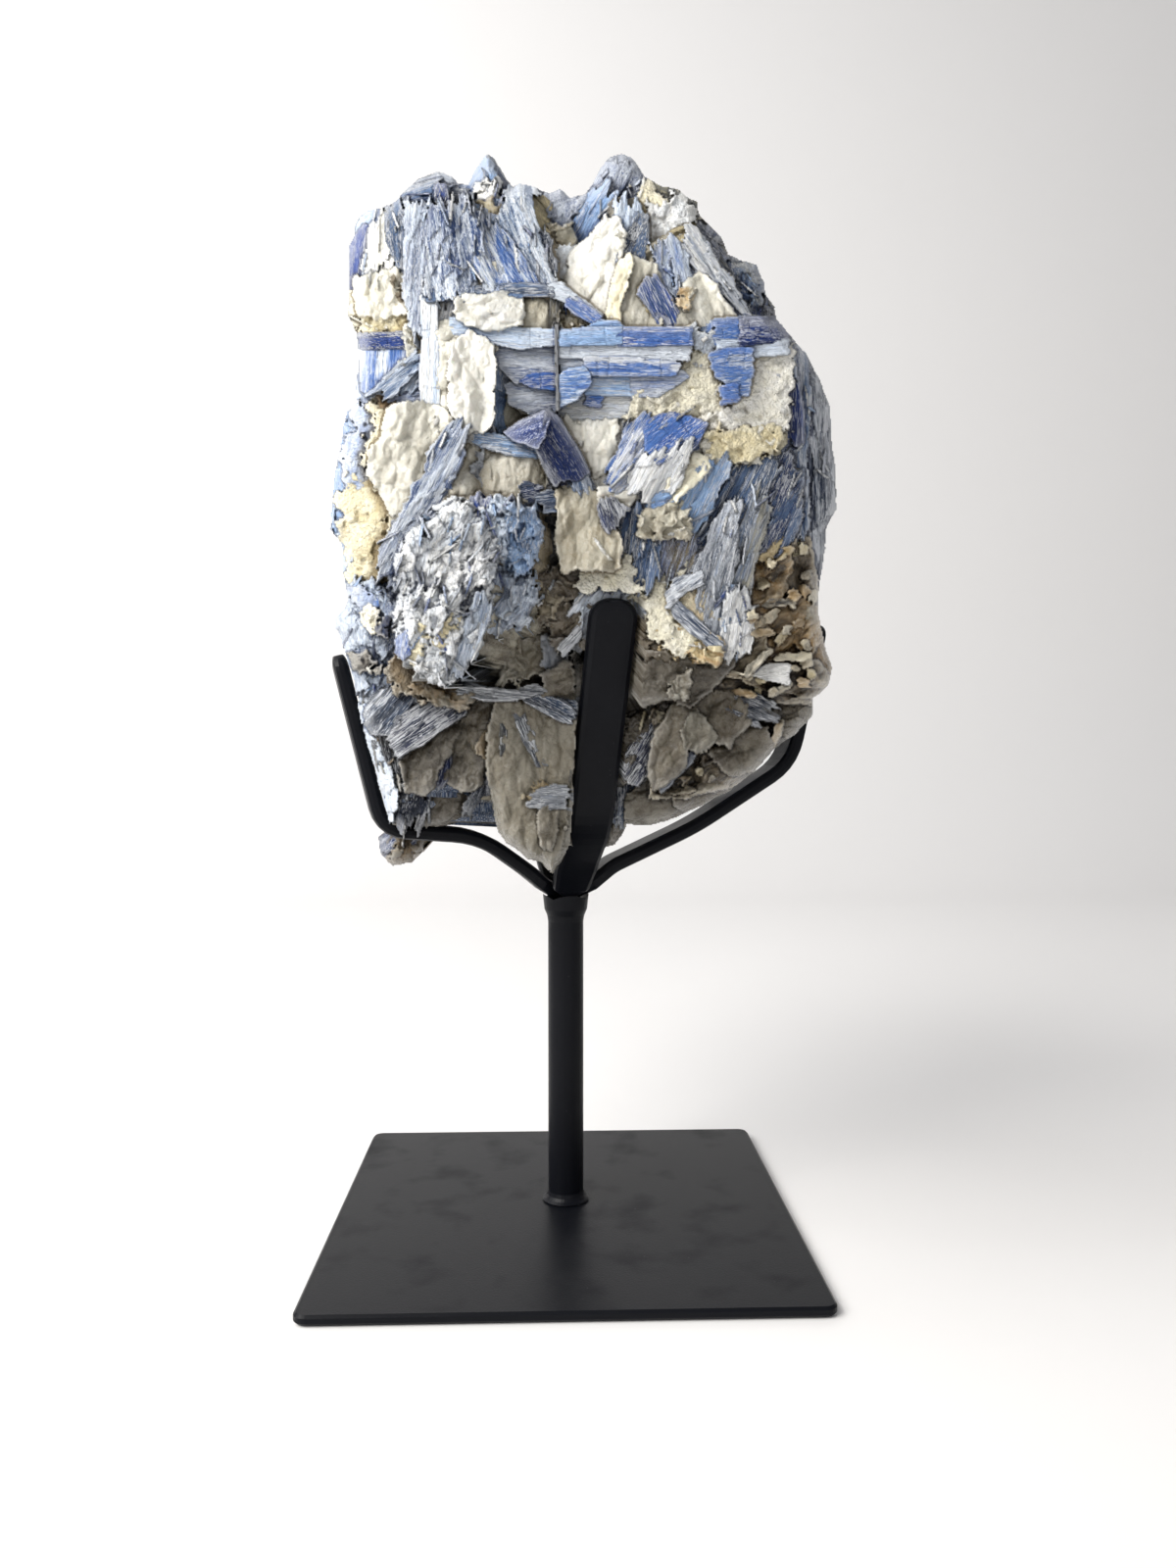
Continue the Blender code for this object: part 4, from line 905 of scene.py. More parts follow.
LOWER_RIGHT = (
    ("quartz", -3.6, 0, -0.1, 10, "smoky", "brown", 0.4, 636, 668, 690, 667, 740, 666, 750, 672, 736, 692,
     716, 708, 702, 717, 684, 712, 640, 722),
    ("rough", -3.75, 0, -0.1, 80, "brown", "beige", 0.7, 684, 702, 692, 690, 704, 688, 706, 704, 698, 716,
     686, 712),
    ("quartz", -3.1, -0.2, 0, 60, "brown", "tan", 0.6, 662, 782, 672, 748, 688, 722, 706, 710, 712, 732,
     704, 760, 696, 782, 668, 804),
    ("quartz", -3.3, 0.1, -0.1, 70, "olive", "brown", 0.6, 698, 742, 708, 728, 722, 738, 730, 752, 716,
     766, 702, 762),
    ("quartz", -3.1, 0.1, 0.1, 60, "brown", "tan", 0.6, 704, 712, 724, 706, 748, 706, 758, 720, 762, 738,
     744, 758, 726, 752, 712, 732),
    ("quartz", -2.6, 0.2, 0, 30, "brown", "tan", 0.6, 728, 768, 744, 752, 762, 742, 780, 744, 788, 760,
     772, 784, 748, 788, 732, 780),
    ("fibre", -2.9, 0.2, 0.1, -20, "slate", "silver", 0.8, 750, 716, 772, 710, 792, 718, 790, 734, 768,
     738, 754, 730),
    ("rough", -1.7, 0.6, 0, 60, "brown", "tan", 0.8, 784, 722, 800, 712, 832, 712, 834, 730, 822, 744,
     802, 752, 786, 744),
    ("rough", -1.5, 0.5, -0.2, 50, "smoky", "brown", 0.8, 776, 750, 800, 744, 816, 748, 804, 768, 784,
     780, 770, 776),
    ("quartz", -1.9, 0.3, -0.3, 20, "brown", "tan", 0.6, 700, 770, 730, 768, 768, 776, 772, 788, 746, 808,
     714, 828, 690, 820, 690, 790),
    ("quartz", -1.6, 0.1, -0.3, 20, "brown", "beige", 0.6, 640, 812, 664, 796, 694, 792, 716, 808, 708,
     826, 682, 838, 662, 843, 640, 843),
    ("blade", -2.7, 0, 0, 43, "silver", "steel", 0.7, 670, 802, 686, 786, 700, 772, 708, 769, 704, 778,
     690, 792, 676, 806),
    ("blade", -2.5, 0, 0, 58, "navy", "ink", 0.9, 636, 792, 640, 770, 652, 754, 668, 740, 676, 744, 672,
     764, 662, 786, 650, 800),
    ("rough", -2.3, -0.1, 0, 70, "smoky", "brown", 0.7, 626, 800, 634, 760, 642, 722, 668, 716, 672, 736,
     650, 762, 640, 796),
    ("fibre", -1.5, 0, -0.1, 84, "steel", "slate", 0.8, 618, 838, 620, 806, 634, 796, 650, 800, 646, 824,
     634, 842),
    ("rough", -1.3, 0, -0.1, 80, "brown", "smoky", 0.7, 610, 866, 616, 832, 634, 828, 642, 840, 634, 858,
     622, 866),
    ("mica", -2.2, 0.2, 0, 30, "smoky", "brown", 0.7, 668, 726, 690, 712, 720, 706, 790, 708, 790, 790,
     700, 812, 664, 812),
)

LOWER_LEFT = (
    # Painted shade: smoky and ink rock fills the undercut below the pale mass, where shade falls
    ("rough", -2.2, 0, -0.2, 60, "smoky", "ink", 0.8, 470, 700, 484, 668, 500, 650, 530, 640, 560, 640,
     584, 660, 582, 700, 540, 712, 480, 712),
    ("quartz", -3.0, 0.1, 0, 60, "tan", "beige", 0.6, 518, 672, 530, 654, 546, 648, 556, 664, 560, 682,
     540, 690, 524, 684),
    ("quartz", -3.05, 0.2, 0, 84, "silver", "steel", 0.6, 556, 650, 570, 648, 576, 672, 566, 682, 556,
     676),
    ("rough", -3.0, 0.1, 0, 60, "brown", "tan", 0.7, 546, 616, 560, 640, 566, 656, 552, 660, 544, 640),
    ("quartz", -3.1, 0.1, -0.1, 10, "brown", "tan", 0.6, 552, 690, 580, 676, 584, 706, 556, 708),
    ("rough", -3.0, 0, -0.1, 60, "tan", "beige", 0.7, 508, 688, 522, 676, 540, 690, 526, 700, 510, 700),
    ("blade", -3.3, 0, 0.4, -4, "silver", "slate", 0.9, 466, 694, 490, 702, 520, 706, 546, 700, 554, 704,
     530, 713, 500, 713, 470, 706),
    ("blade", -3.25, 0, 0.3, -28, "slate", "steel", 0.9, 530, 708, 552, 710, 576, 718, 586, 730, 582, 736,
     560, 728, 540, 716),
    ("quartz", -2.75, 0, -0.15, 86, "tan", "beige", 0.5, 502, 742, 506, 716, 530, 714, 560, 724, 584, 736,
     584, 780, 576, 830, 570, 866, 562, 892, 552, 880, 550, 868, 538, 877, 516, 860, 508, 850, 503, 820,
     499, 780),
    ("blade", -2.95, 0.2, 0, 92, "slate", "olive", 0.7, 511, 714, 517, 714, 520, 766, 512, 770),
    ("blade", -2.95, 0.1, 0, 116, "slate", "silver", 0.8, 526, 730, 532, 722, 546, 746, 557, 778, 550,
     780, 538, 756),
    ("blade", -2.95, 0, 0, 4, "silver", "slate", 0.7, 541, 812, 560, 804, 577, 802, 576, 823, 556, 823,
     541, 821),
    ("crust", -2.95, 0, 0.1, 10, "gold", "straw", 0.8, 536, 804, 546, 792, 558, 806, 550, 814, 540, 814),
    ("quartz", -2.9, 0.1, -0.1, 84, "brown", "tan", 0.6, 550, 834, 560, 824, 568, 832, 562, 866, 552,
     862),
    ("quartz", -2.4, 0, -0.1, 80, "brown", "tan", 0.6, 470, 712, 500, 708, 510, 716, 506, 768, 488, 770,
     474, 744),
    ("quartz", -2.5, 0, 0, 80, "tan", "gold", 0.6, 490, 758, 502, 744, 512, 762, 510, 774, 500, 776, 492,
     770),
    ("blade", -2.75, -0.1, 0.1, 34, "slate", "navy", 0.9, 398, 754, 408, 736, 424, 722, 440, 716, 476,
     718, 472, 728, 450, 744, 430, 757, 407, 772),
    ("blade", -2.5, -0.3, 0.1, 50, "slate", "steel", 0.9, 374, 724, 390, 706, 410, 696, 428, 692, 420,
     712, 410, 732, 398, 748, 384, 750, 376, 738),
    ("quartz", -2.4, -0.1, 0, 70, "smoky", "brown", 0.5, 410, 778, 424, 760, 446, 744, 466, 728, 470, 744,
     460, 766, 448, 780, 442, 802, 430, 809, 416, 806),
    ("quartz", -2.2, 0, 0, 70, "smoky", "tan", 0.5, 452, 786, 458, 762, 474, 746, 490, 752, 498, 766, 496,
     784, 484, 802, 470, 808, 456, 798),
    ("blade", -2.35, 0, 0, 80, "navy", "deep_blue", 0.8, 443, 784, 448, 772, 459, 772, 455, 796, 446,
     802),
    ("blade", -2.3, 0, 0, 68, "deep_blue", "navy", 0.8, 498, 790, 503, 771, 519, 774, 512, 796, 497, 810),
    ("lump", -1.7, -0.8, 0, 106, "ice", "silver", 0.7, 353, 690, 366, 700, 374, 726, 380, 748, 388, 768,
     396, 790, 402, 812, 396, 836, 388, 812, 378, 780, 368, 744, 360, 716),
    ("fibre", -1.9, -0.4, 0, 104, "ink", "slate", 0.8, 378, 744, 398, 748, 410, 776, 414, 806, 402, 816,
     390, 790),
    ("fibre", -1.7, -0.1, -0.1, 80, "slate", "navy", 0.9, 392, 816, 410, 806, 432, 806, 436, 832, 430,
     842, 396, 842),
    ("quartz", -1.6, 0, -0.15, 70, "brown", "smoky", 0.7, 428, 810, 452, 798, 482, 800, 482, 826, 466,
     842, 430, 843),
    ("fibre", -2.0, 0.1, 0, 78, "slate", "steel", 0.8, 474, 834, 480, 810, 486, 780, 500, 776, 500, 810,
     490, 824, 480, 838),
    ("crust", -3.1, -0.1, 0, 70, "gold", "tan", 0.9, 396, 690, 400, 668, 418, 672, 432, 684, 440, 692,
     424, 698, 404, 700),
    ("rough", -3.1, 0, 0.1, -10, "tan", "gold", 0.9, 424, 694, 452, 694, 480, 700, 492, 710, 472, 722,
     456, 722, 444, 714, 426, 708),
    ("quartz", -1.5, 0, -0.2, 60, "smoky", "ink", 0.7, 396, 740, 470, 730, 508, 760, 500, 812, 470, 838,
     400, 840),
    ("fibre", 0.7, -0.3, -0.1, 40, "storm", "deep_blue", 0.9, 384, 856, 396, 846, 422, 846, 420, 866, 404,
     878, 388, 872),
    ("rough", 0.6, 0.1, -0.2, 70, "tan", "gold", 0.9, 412, 852, 437, 845, 434, 868, 420, 882, 400, 884,
     406, 868),
    ("crust", 0.5, 0.1, -0.2, 70, "gold", "smoky", 0.8, 408, 862, 420, 860, 424, 878, 410, 882),
)

# Partly painted shade: the lower zones' hard crystals are dimmed to this share, partly for their own smoky
# colour and partly as painted shade where the stone's lower part lies in shadow
SMOKE_AND_SHADE_DIMMING = {"lower_right_quartz": 0.45, "lower_left_hollow": 0.42}  # share of their tones' brightness
DIM_ZONES = ("mica_books", "lower_right_quartz", "lower_left_hollow")
ZONES = {
    "crown_fibres": CROWN,
    "quartz_peak": PEAK,
    "left_plates": LEFT_PLATES,
    "blue_kyanite_slab": BLUE_SLAB,
    "left_quartz_faces": LEFT_QUARTZ,
    "pale_kyanite_mass": PALE_MASS,
    "centre_crystals": CENTRE,
    "right_kyanite_blades": RIGHT_BLADES,
    "mica_books": MICA_BOOKS,
    "lower_right_quartz": LOWER_RIGHT,
    "lower_left_hollow": LOWER_LEFT,
}


def signed_distance(columns, rows, outline):
    """Distance to a closed outline, positive inside: the least distance to any of its edges, with
    the sign from how many edges lie to the right."""
    corners = np.array(outline, dtype=float)
    least = np.full(columns.shape, np.inf)
    inside = np.zeros(columns.shape, dtype=bool)
    for (x0, y0), (x1, y1) in zip(corners, np.roll(corners, -1, axis=0)):
        edge_x, edge_y = x1 - x0, y1 - y0
        share = ((columns - x0) * edge_x + (rows - y0) * edge_y) / (edge_x**2 + edge_y**2)
        share = np.clip(share, 0, 1)
        gap = (columns - x0 - share * edge_x) ** 2 + (rows - y0 - share * edge_y) ** 2
        least = np.minimum(least, gap)
        if edge_y:
            level = (y0 <= rows) != (y1 <= rows)
            inside ^= level & (columns < x0 + (rows - y0) / edge_y * edge_x)
    return np.where(inside, 1, -1) * np.sqrt(least)


def blurred(field, reach):
    """A field averaged over a square, by running sums down and across."""
    for axis in (0, 1):
        pads = [(0, 0), (0, 0)]
        pads[axis] = (reach + 1, reach)
        sums = np.cumsum(np.pad(field, pads, mode="edge"), axis=axis)
        ahead, behind = [slice(None)] * 2, [slice(None)] * 2
        ahead[axis], behind[axis] = slice(2 * reach + 1, None), slice(0, -2 * reach - 1)
        field = (sums[tuple(ahead)] - sums[tuple(behind)]) / (2 * reach + 1)
    return field


WALL_SHARES = (0.06, 0.16, 0.3, 0.48, 0.7, 1.0)  # how far in the rings behind a zone's edge are


class Front:
    """The stone's front as one field over frame pixels: how near it comes, and whose crystal it is.

    Each crystal is a leaning plane with its kind's relief, cut to its outline with a ragged edge.
    Where crystals overlap the nearest shows. Gaps are filled from their neighbours, set back.
    """

    def __init__(self, step):
        self.step = step
        columns = np.arange(FRONT_LEFT, FRONT_RIGHT, step)
        rows = np.arange(FRONT_TOP, FRONT_BOTTOM, step)
        self.columns, self.rows = np.meshgrid(columns, rows)
        shape = self.columns.shape
        shake_x = 1.6 * fractal(self.columns / 14, self.rows / 14, 401, 4, 0.6)
        shake_y = 1.6 * fractal(self.columns / 14, self.rows / 14, 402, 4, 0.6)
        self.inside = signed_distance(self.columns + shake_x, self.rows + shake_y, STONE_OUTLINE)
        self.near = np.full(shape, -99.0)
        self.owner = np.full(shape, -1)
        self.grain = np.zeros((*shape, 3))
        self.fleck = 0.5 + 0.5 * fractal(self.columns / 9, self.rows / 9, 405, 4, 0.6)
        self.specs = [
            (zone, (*row[:8], list(zip(row[8::2], row[9::2]))))
            for zone, rows in ZONES.items() for row in rows
        ]
        for number, (_, spec) in enumerate(self.specs):
            self.lay(number, spec)
        self.fill()
        for number in range(LITTER_TRIES):
            self.drop_litter(number)
        far = np.clip(1 - self.inside / 16, 0, 1)
        self.near -= 1.0 * (1 - np.sqrt(1 - far**2))
        self.near += 0.012 * fractal(self.columns / 5, self.rows / 5, 411, 3, 0.6)
        self.grain[..., 2] = self.near
        # Painted shade and highlight: how far each point stands out from its surroundings, near and wide,
        # darkens creases and lightens ridges in the shaders; the third part is the crystals' own fleck
        small = (self.near - blurred(self.near, max(int(3 / step), 1))) / 0.05
        large = (self.near - blurred(self.near, int(13 / step))) / 0.28
        self.relief_shade_and_fleck = np.stack((small, large, self.fleck), axis=-1)

    def lay(self, number, spec):
        """Lays one crystal into the field."""
        kind, depth, lean_right, lean_up, turn, _, _, _, outline = spec
        relief, _, rounding, ragged, rough = KINDS[kind]
        corners = np.array(outline, dtype=float)
        low, high = corners.min(axis=0) - 12, corners.max(axis=0) + 12
        first = np.maximum(((low - (FRONT_LEFT, FRONT_TOP)) / self.step).astype(int), 0)
        last = ((high - (FRONT_LEFT, FRONT_TOP)) / self.step).astype(int) + 1
        window = (slice(first[1], last[1]), slice(first[0], last[0]))
        middle = corners.mean(axis=0)
        x = (self.columns[window] - middle[0]) * PIXEL
        z = (middle[1] - self.rows[window]) * PIXEL
        cos, sin = math.cos(math.radians(turn)), math.sin(math.radians(turn))
        along, across = x * cos + z * sin, z * cos - x * sin
        seed = 10 + 31 * number
        finger = noise(across / 0.10, along / 3, seed) + 0.6 * noise(across / 0.045, along / 2, seed + 1)
        finger = ragged * finger
        push = rough * fractal(along / 0.3, across / 0.3, seed + 2, 4, 0.65) * 2
        side = rough * fractal(along / 0.3, across / 0.3, seed + 3, 4, 0.65) * 2
        moved_along, moved_across = along + finger + push, across + side
        place_x = middle[0] + (moved_along * cos - moved_across * sin) / PIXEL
        place_y = middle[1] - (moved_along * sin + moved_across * cos) / PIXEL
        within = signed_distance(place_x, place_y, outline) * PIXEL
        spare = 0.002 if kind in ("shard", "chip") else 0.06
        limit = min(rounding, 0.4 * float(within.max()) + 0.01)
        edge = np.clip(1 - (within + spare) / (limit + spare), 0, 1)
        drop = limit * (1 - np.sqrt(1 - edge**2))
        plane = -(depth + lean_right * x + lean_up * z)
        height, fleck = relief(along + number * 1.7, across + number * 2.3, seed)
        near = plane + height - drop
        take = (within > -spare) & (near > self.near[window])
        self.near[window] = np.where(take, near, self.near[window])
        self.fleck[window] = np.where(take, fleck, self.fleck[window])
        self.owner[window] = np.where(take, number, self.owner[window])
        for axis, value in enumerate((along + number * 2.9, across + number * 4.1)):
            self.grain[window][..., axis] = np.where(take, value, self.grain[window][..., axis])

    def fill(self):
        """Fills the gaps: the average of what surrounds them, set back, owned by a neighbour."""
        known = self.owner >= 0
        weight = blurred(known.astype(float), 8) + 1e-6
        level = blurred(np.where(known, self.near, 0), 8) / weight
        self.gap = ~known
        rock = 0.10 * fractal(self.columns / 12, self.rows / 12, 421, 4, 0.6)
        self.near = np.where(known, self.near, level - 0.14 + rock)
        self.grain[..., 0] = np.where(known, self.grain[..., 0], self.columns * PIXEL)
        self.grain[..., 1] = np.where(known, self.grain[..., 1], self.rows * PIXEL)
        for _ in range(24):
            for axis, move in ((0, 1), (0, -1), (1, 1), (1, -1)):
                self.owner = np.where(self.owner < 0, np.roll(self.owner, move, axis=axis), self.owner)

    def drop_litter(self, number):
        """Lays one small splinter or chip on whatever is at its place, in line with its grain."""
        pick = np.random.default_rng(5000 + number)
        row = int(pick.integers(8, self.near.shape[0] - 8))
        column = int(pick.integers(8, self.near.shape[1] - 8))
        if self.inside[row, column] < 4:
            return
        zone, spec = self.specs[self.owner[row, column]]
        finish = KINDS[spec[0]][1]
        tones = LITTER[MICA if zone in DIM_ZONES else finish]
        if pick.random() > LITTER_SHARE.get(spec[0], 0):
            return
        long_shard = finish == KYANITE or pick.random() < 0.3
        if long_shard:
            length, width = pick.uniform(8, 36), pick.uniform(1.5, 3.6)
        else:
            length, width = pick.uniform(2.5, 8, 2)
        turn = spec[4] + pick.normal(0, 22)
        cos, sin = math.cos(math.radians(turn)), math.sin(math.radians(turn))
        shape = [(-0.5, -0.3), (0.3, -0.5), (0.5, 0.1), (0.35, 0.45), (-0.4, 0.5)]
        place = self.columns[row, column], self.rows[row, column]
        outline = [
            (place[0] + x * length * cos - y * width * sin, place[1] - x * length * sin - y * width * cos)
            for x, y in shape
        ]
        depth = -self.near[row, column] - pick.uniform(0.0, 0.03)
        ahead, below = self.near[row, column - 6:column + 7], self.near[row - 6:row + 7, column]
        lean_right = float(np.clip((ahead[0] - ahead[-1]) / (12 * PIXEL * self.step), -0.8, 0.8))
        lean_up = float(np.clip((below[-1] - below[0]) / (12 * PIXEL * self.step), -0.8, 0.8))
        tone, shade = tones[int(pick.integers(len(tones)))], tones[int(pick.integers(len(tones)))]
        kind = "shard" if long_shard and finish == KYANITE else ("mica" if finish == MICA else "chip")
        self.specs.append((zone, (kind, depth, lean_right, lean_up, turn, tone, shade, 0.6, outline)))
        self.lay(len(self.specs) - 1, self.specs[-1][1])

    def sample(self, points):
        """For points in centimetres: pixels inside the stone's edge there, and the front's Y."""
        columns, rows = pixels(points)
        row = np.clip(((rows - FRONT_TOP) / self.step).round().astype(int), 0, self.near.shape[0] - 1)
        column = np.clip(((columns - FRONT_LEFT) / self.step).round().astype(int), 0, self.near.shape[1] - 1)
        return self.inside[row, column], -self.near[row, column]

    def piece(self, zone):
        """One zone's share of the front as a closed solid.

        The zone's cells are the front. Their outer edges are carried back into the stone in dented
        rings and closed to one point deep inside it.
        """
        mine = np.array([each == zone for each, _ in self.specs] + [False])[self.owner]
        solid = self.inside > 0
        cell = mine & solid
        cell[:-1, :-1] &= solid[1:, :-1] & solid[:-1, 1:] & solid[1:, 1:]
        cell[-1], cell[:, -1] = False, False
        number = np.arange(self.near.size).reshape(self.near.shape)
        corners = [number[:-1, :-1], number[1:, :-1], number[1:, 1:], number[:-1, 1:]]
        quads = np.stack([corner[cell[:-1, :-1]] for corner in corners], axis=-1)
        used, quads = np.unique(quads, return_inverse=True)
        quads = quads.reshape(-1, 4)
        count = len(used)
        world = sight(self.columns.ravel()[used], self.rows.ravel()[used], -self.near.ravel()[used])
        start, end = quads.ravel(), np.roll(quads, -1, axis=1).ravel()
        open_edge = ~np.isin(start * count + end, end * count + start)
        start, end = start[open_edge], end[open_edge]
        rim = np.unique(start)
        place = np.zeros(count, dtype=int)
        place[rim] = np.arange(len(rim))
        apex = np.array((*STONE_MIDDLE, world[:, 2].mean() * 0.6 + 15 * 0.4)) + (0, 0.4, 0)
        inward = (apex - world[rim]) * (0.22, 0.3, 0.22) + (0, 0.9, 0)
        walls, rings = [], []
        before_start, before_end = start, end
        for level, share in enumerate(WALL_SHARES):
            ring = world[rim] + inward * share
            dent = 0.5 + 0.5 * fractal(ring[:, 2] * 3, (ring[:, 0] + ring[:, 1] * 1.7) * 3, 431, 3, 0.6)
            rings.append(ring + inward * (0.16 * dent * math.sin(math.pi * share))[:, None])
            first = count + level * len(rim)
            now_start, now_end = first + place[start], first + place[end]
            walls.append(np.stack((before_end, before_start, now_start, now_end), axis=-1))
            before_start, before_end = now_start, now_end
        last = count + len(WALL_SHARES) * len(rim)
        caps = np.stack((before_end, before_start, np.full(len(start), last)), axis=-1)
        heap = Heap()
        heap.points = [np.concatenate((world, *rings, apex[None]))]
        heap.quads, heap.fans = [quads, *walls], [caps]
        source = np.concatenate((used, np.tile(used[rim], len(WALL_SHARES)), used[:1]))
        owner = self.owner.ravel()[source]
        looks = [spec for _, spec in self.specs]
        tone = np.array([(*TONES[spec[5]], spec[7]) for spec in looks])[owner]
        shade = np.array([(*TONES[spec[6]], 1.0) for spec in looks])[owner]
        finish = np.array([KINDS[spec[0]][1] for spec in looks])
        soft = np.array([spec[0] == "lump" for spec in looks])[owner]
        # Partly painted shade: dims the lower zones' hard crystals, for their smoky colour and as painted
        # shade low on the stone
        tone[~soft, :3] *= SMOKE_AND_SHADE_DIMMING.get(zone, 1.0)
        shade[~soft, :3] *= SMOKE_AND_SHADE_DIMMING.get(zone, 1.0)
        # Painted shade: the set-back fill in the gaps between crystals is given half its tone
        gap = self.gap.ravel()[source]
        tone[gap, :3] *= 0.5
        heap.tone, heap.shade = [tone], [shade]
        grain, relief_shade_and_fleck = self.grain.reshape(-1, 3)[source], self.relief_shade_and_fleck.reshape(-1, 3)[source]
        on_wall = np.concatenate(rings)
        grain[count:last, 2] -= np.linalg.norm(on_wall - np.tile(world[rim], (len(WALL_SHARES), 1)), axis=1)
        relief_shade_and_fleck[count:last] = np.stack((
            np.zeros(len(on_wall)), np.zeros(len(on_wall)),
            0.5 + 0.5 * fractal(on_wall[:, 2] * 1.6, (on_wall[:, 0] + on_wall[:, 1] * 1.7) * 4, 432, 4, 0.6),
        ), axis=-1)
        heap.grain, heap.relief_shade_and_fleck = [grain], [relief_shade_and_fleck]
        owners = self.owner.ravel()[used]
        heap.quad_finish = [finish[owners[quads[:, 0]]]] + [finish[owners[start]]] * len(WALL_SHARES)
        heap.fan_finish = [finish[owners[start]]]
        return mesh_object(zone, heap)


def stone_front(context):
    """The front's field, worked out once for a given detail."""
    step = round(context.scene.stone_settings.front_step, 3)
    if step not in FRONTS:
        FRONTS[step] = Front(step)
    return FRONTS[step]


FRONTS = {}


# --- Core rock and the crystals of the sides, back, top and underside


def stone_tree():
    """The model's own stone, to find how far out its surface is."""
    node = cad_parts["specimen"]
    points = [node.matrix_world @ v.co for v in node.data.vertices]
    return BVHTree.FromPolygons(points, [tuple(p.vertices) for p in node.data.polygons])


def stone_hit(tree, start, direction):
    """Where a line meets the model's stone, and the outward direction there, in centimetres."""
    place, normal, _, _ = tree.ray_cast(Vector(start) * CM, Vector(direction).normalized())
    if place is None:
        return None
    return np.array(place) / CM, np.array(normal)


def core_reach(tree, angles, heights):
    """The stone's reach from its middle line at each height and angle, by lines cast inward."""
    reach = np.zeros((len(heights), len(angles)))
    for row, height in enumerate(heights):
        for column, angle in enumerate(angles):
            out = np.array((math.cos(angle), math.sin(angle), 0))
            start = np.array((*STONE_MIDDLE, height)) + out * 9
            hit = stone_hit(tree, start, -out)
            reach[row, column] = 0.6 if hit is None else max(np.hypot(*(hit[0][:2] - STONE_MIDDLE)), 0.3)
    return reach


def core_surface(tree, front):
    """The rock between the crystals: the model's reach, smoothed, set back and broken up.

    Rows climb the stone and columns go round it. Matted plates, fractures and noise roughen it. Points
    that would show past the front or its edge are drawn in towards the middle. Gives the places in its
    own axes and in centimetres, a fleck from 0 to 1, and which mix each patch is made of.
    """
    coarse_angles = np.linspace(0, 2 * math.pi, 72, endpoint=False)
    coarse_heights = np.linspace(STONE_LOW + 0.3, STONE_HIGH - 0.1, 44)
    reach = core_reach(tree, coarse_angles, coarse_heights)
    for _ in range(2):
        near = np.roll(reach, 1, axis=1) + np.roll(reach, -1, axis=1)
        tall = np.vstack((reach[:1], reach[:-1])) + np.vstack((reach[1:], reach[-1:]))
        reach = np.minimum(reach, (2 * reach + near + tall) / 6)
    angles = np.linspace(-0.5 * math.pi, 1.5 * math.pi, 360, endpoint=False)
    heights = np.linspace(STONE_LOW, STONE_HIGH, 230)
    ring = np.array([np.interp(angles, coarse_angles, row, period=2 * math.pi) for row in reach])
    field = np.array([np.interp(heights, coarse_heights, ring[:, c]) for c in range(len(angles))]).T
    grid_angle, grid_height = np.meshgrid(angles, heights)
    arc = 4 * grid_angle
    bent = 0.25 * fractal(grid_height / 0.8, arc / 0.6, 304, 3)
    plates, fleck = matted(grid_height + bent, arc - bent, 305, 1.5, 0.8, 0.10, 1.6, 0.05)
    chips, other = matted(grid_height - bent, arc + bent, 306, 0.6, 1.4, 0.09, 0.8, 0.05)
    rough = 0.45 * facets(arc / 2.2 + 7, grid_height / 3.0, 301) + 0.55 * plates + 0.45 * chips
    rough += 0.10 * fractal(arc / 0.5, grid_height / 0.7, 302, 4, 0.6)
    field = np.maximum(field - 0.40 + rough, 0.3)
    ends = np.minimum(1, np.minimum(heights - STONE_LOW, STONE_HIGH - heights) / 0.9)
    field *= (0.35 + 0.65 * np.sqrt(np.clip(ends, 0, 1)))[:, None]
    out = np.stack((np.cos(grid_angle), np.sin(grid_angle), np.zeros(grid_angle.shape)), axis=-1)
    for _ in range(40):
        points = out * field[..., None] + np.stack((
            np.full(field.shape, STONE_MIDDLE[0]), np.full(field.shape, STONE_MIDDLE[1]), grid_height
        ), axis=-1)
        inside, face = front.sample(points.reshape(-1, 3))
        shown = ((inside < 4) | (points.reshape(-1, 3)[:, 1] < face + 0.12)).reshape(field.shape)
        field = np.where(shown & (field > 0.2), field * 0.94, field)
    at_x, at_y, *_ = nearest((grid_height + bent) / 1.7, (arc - bent) / 1.2, 307)
    patch = (scatter(at_x, at_y, 308) * len(CORE_MIXES)).astype(int) % len(CORE_MIXES)
    return np.stack((grid_height, arc, field), axis=-1), points, 0.5 * (fleck + other), patch


# What the rock between the crystals is made of, patch by patch: kind, tone, shade
CORE_MIXES = (
    ("blade", "steel", "silver"), ("fibre", "slate", "steel"), ("rough", "olive", "smoky"),
    ("quartz", "beige", "tan"), ("crust", "straw", "tan"), ("fibre", "steel", "pale_blue"),
    ("quartz", "smoky", "beige"), ("mica", "tan", "brown"),
)

MIXES = (
    ("blade", "pale_blue", "steel"), ("blade", "blue", "silver"), ("fibre", "steel", "slate"),
    ("quartz", "milk", "beige"), ("blade", "steel", "navy"), ("fibre", "silver", "steel"),
    ("quartz", "beige", "tan"), ("blade", "blue", "deep_blue"), ("crust", "cream", "milk"),
    ("fibre", "ice", "steel"), ("mica", "tan", "brown"), ("quartz", "white", "milk"),
    ("blade", "silver", "blue"), ("rough", "olive", "steel"), ("crust", "straw", "cream"),
)


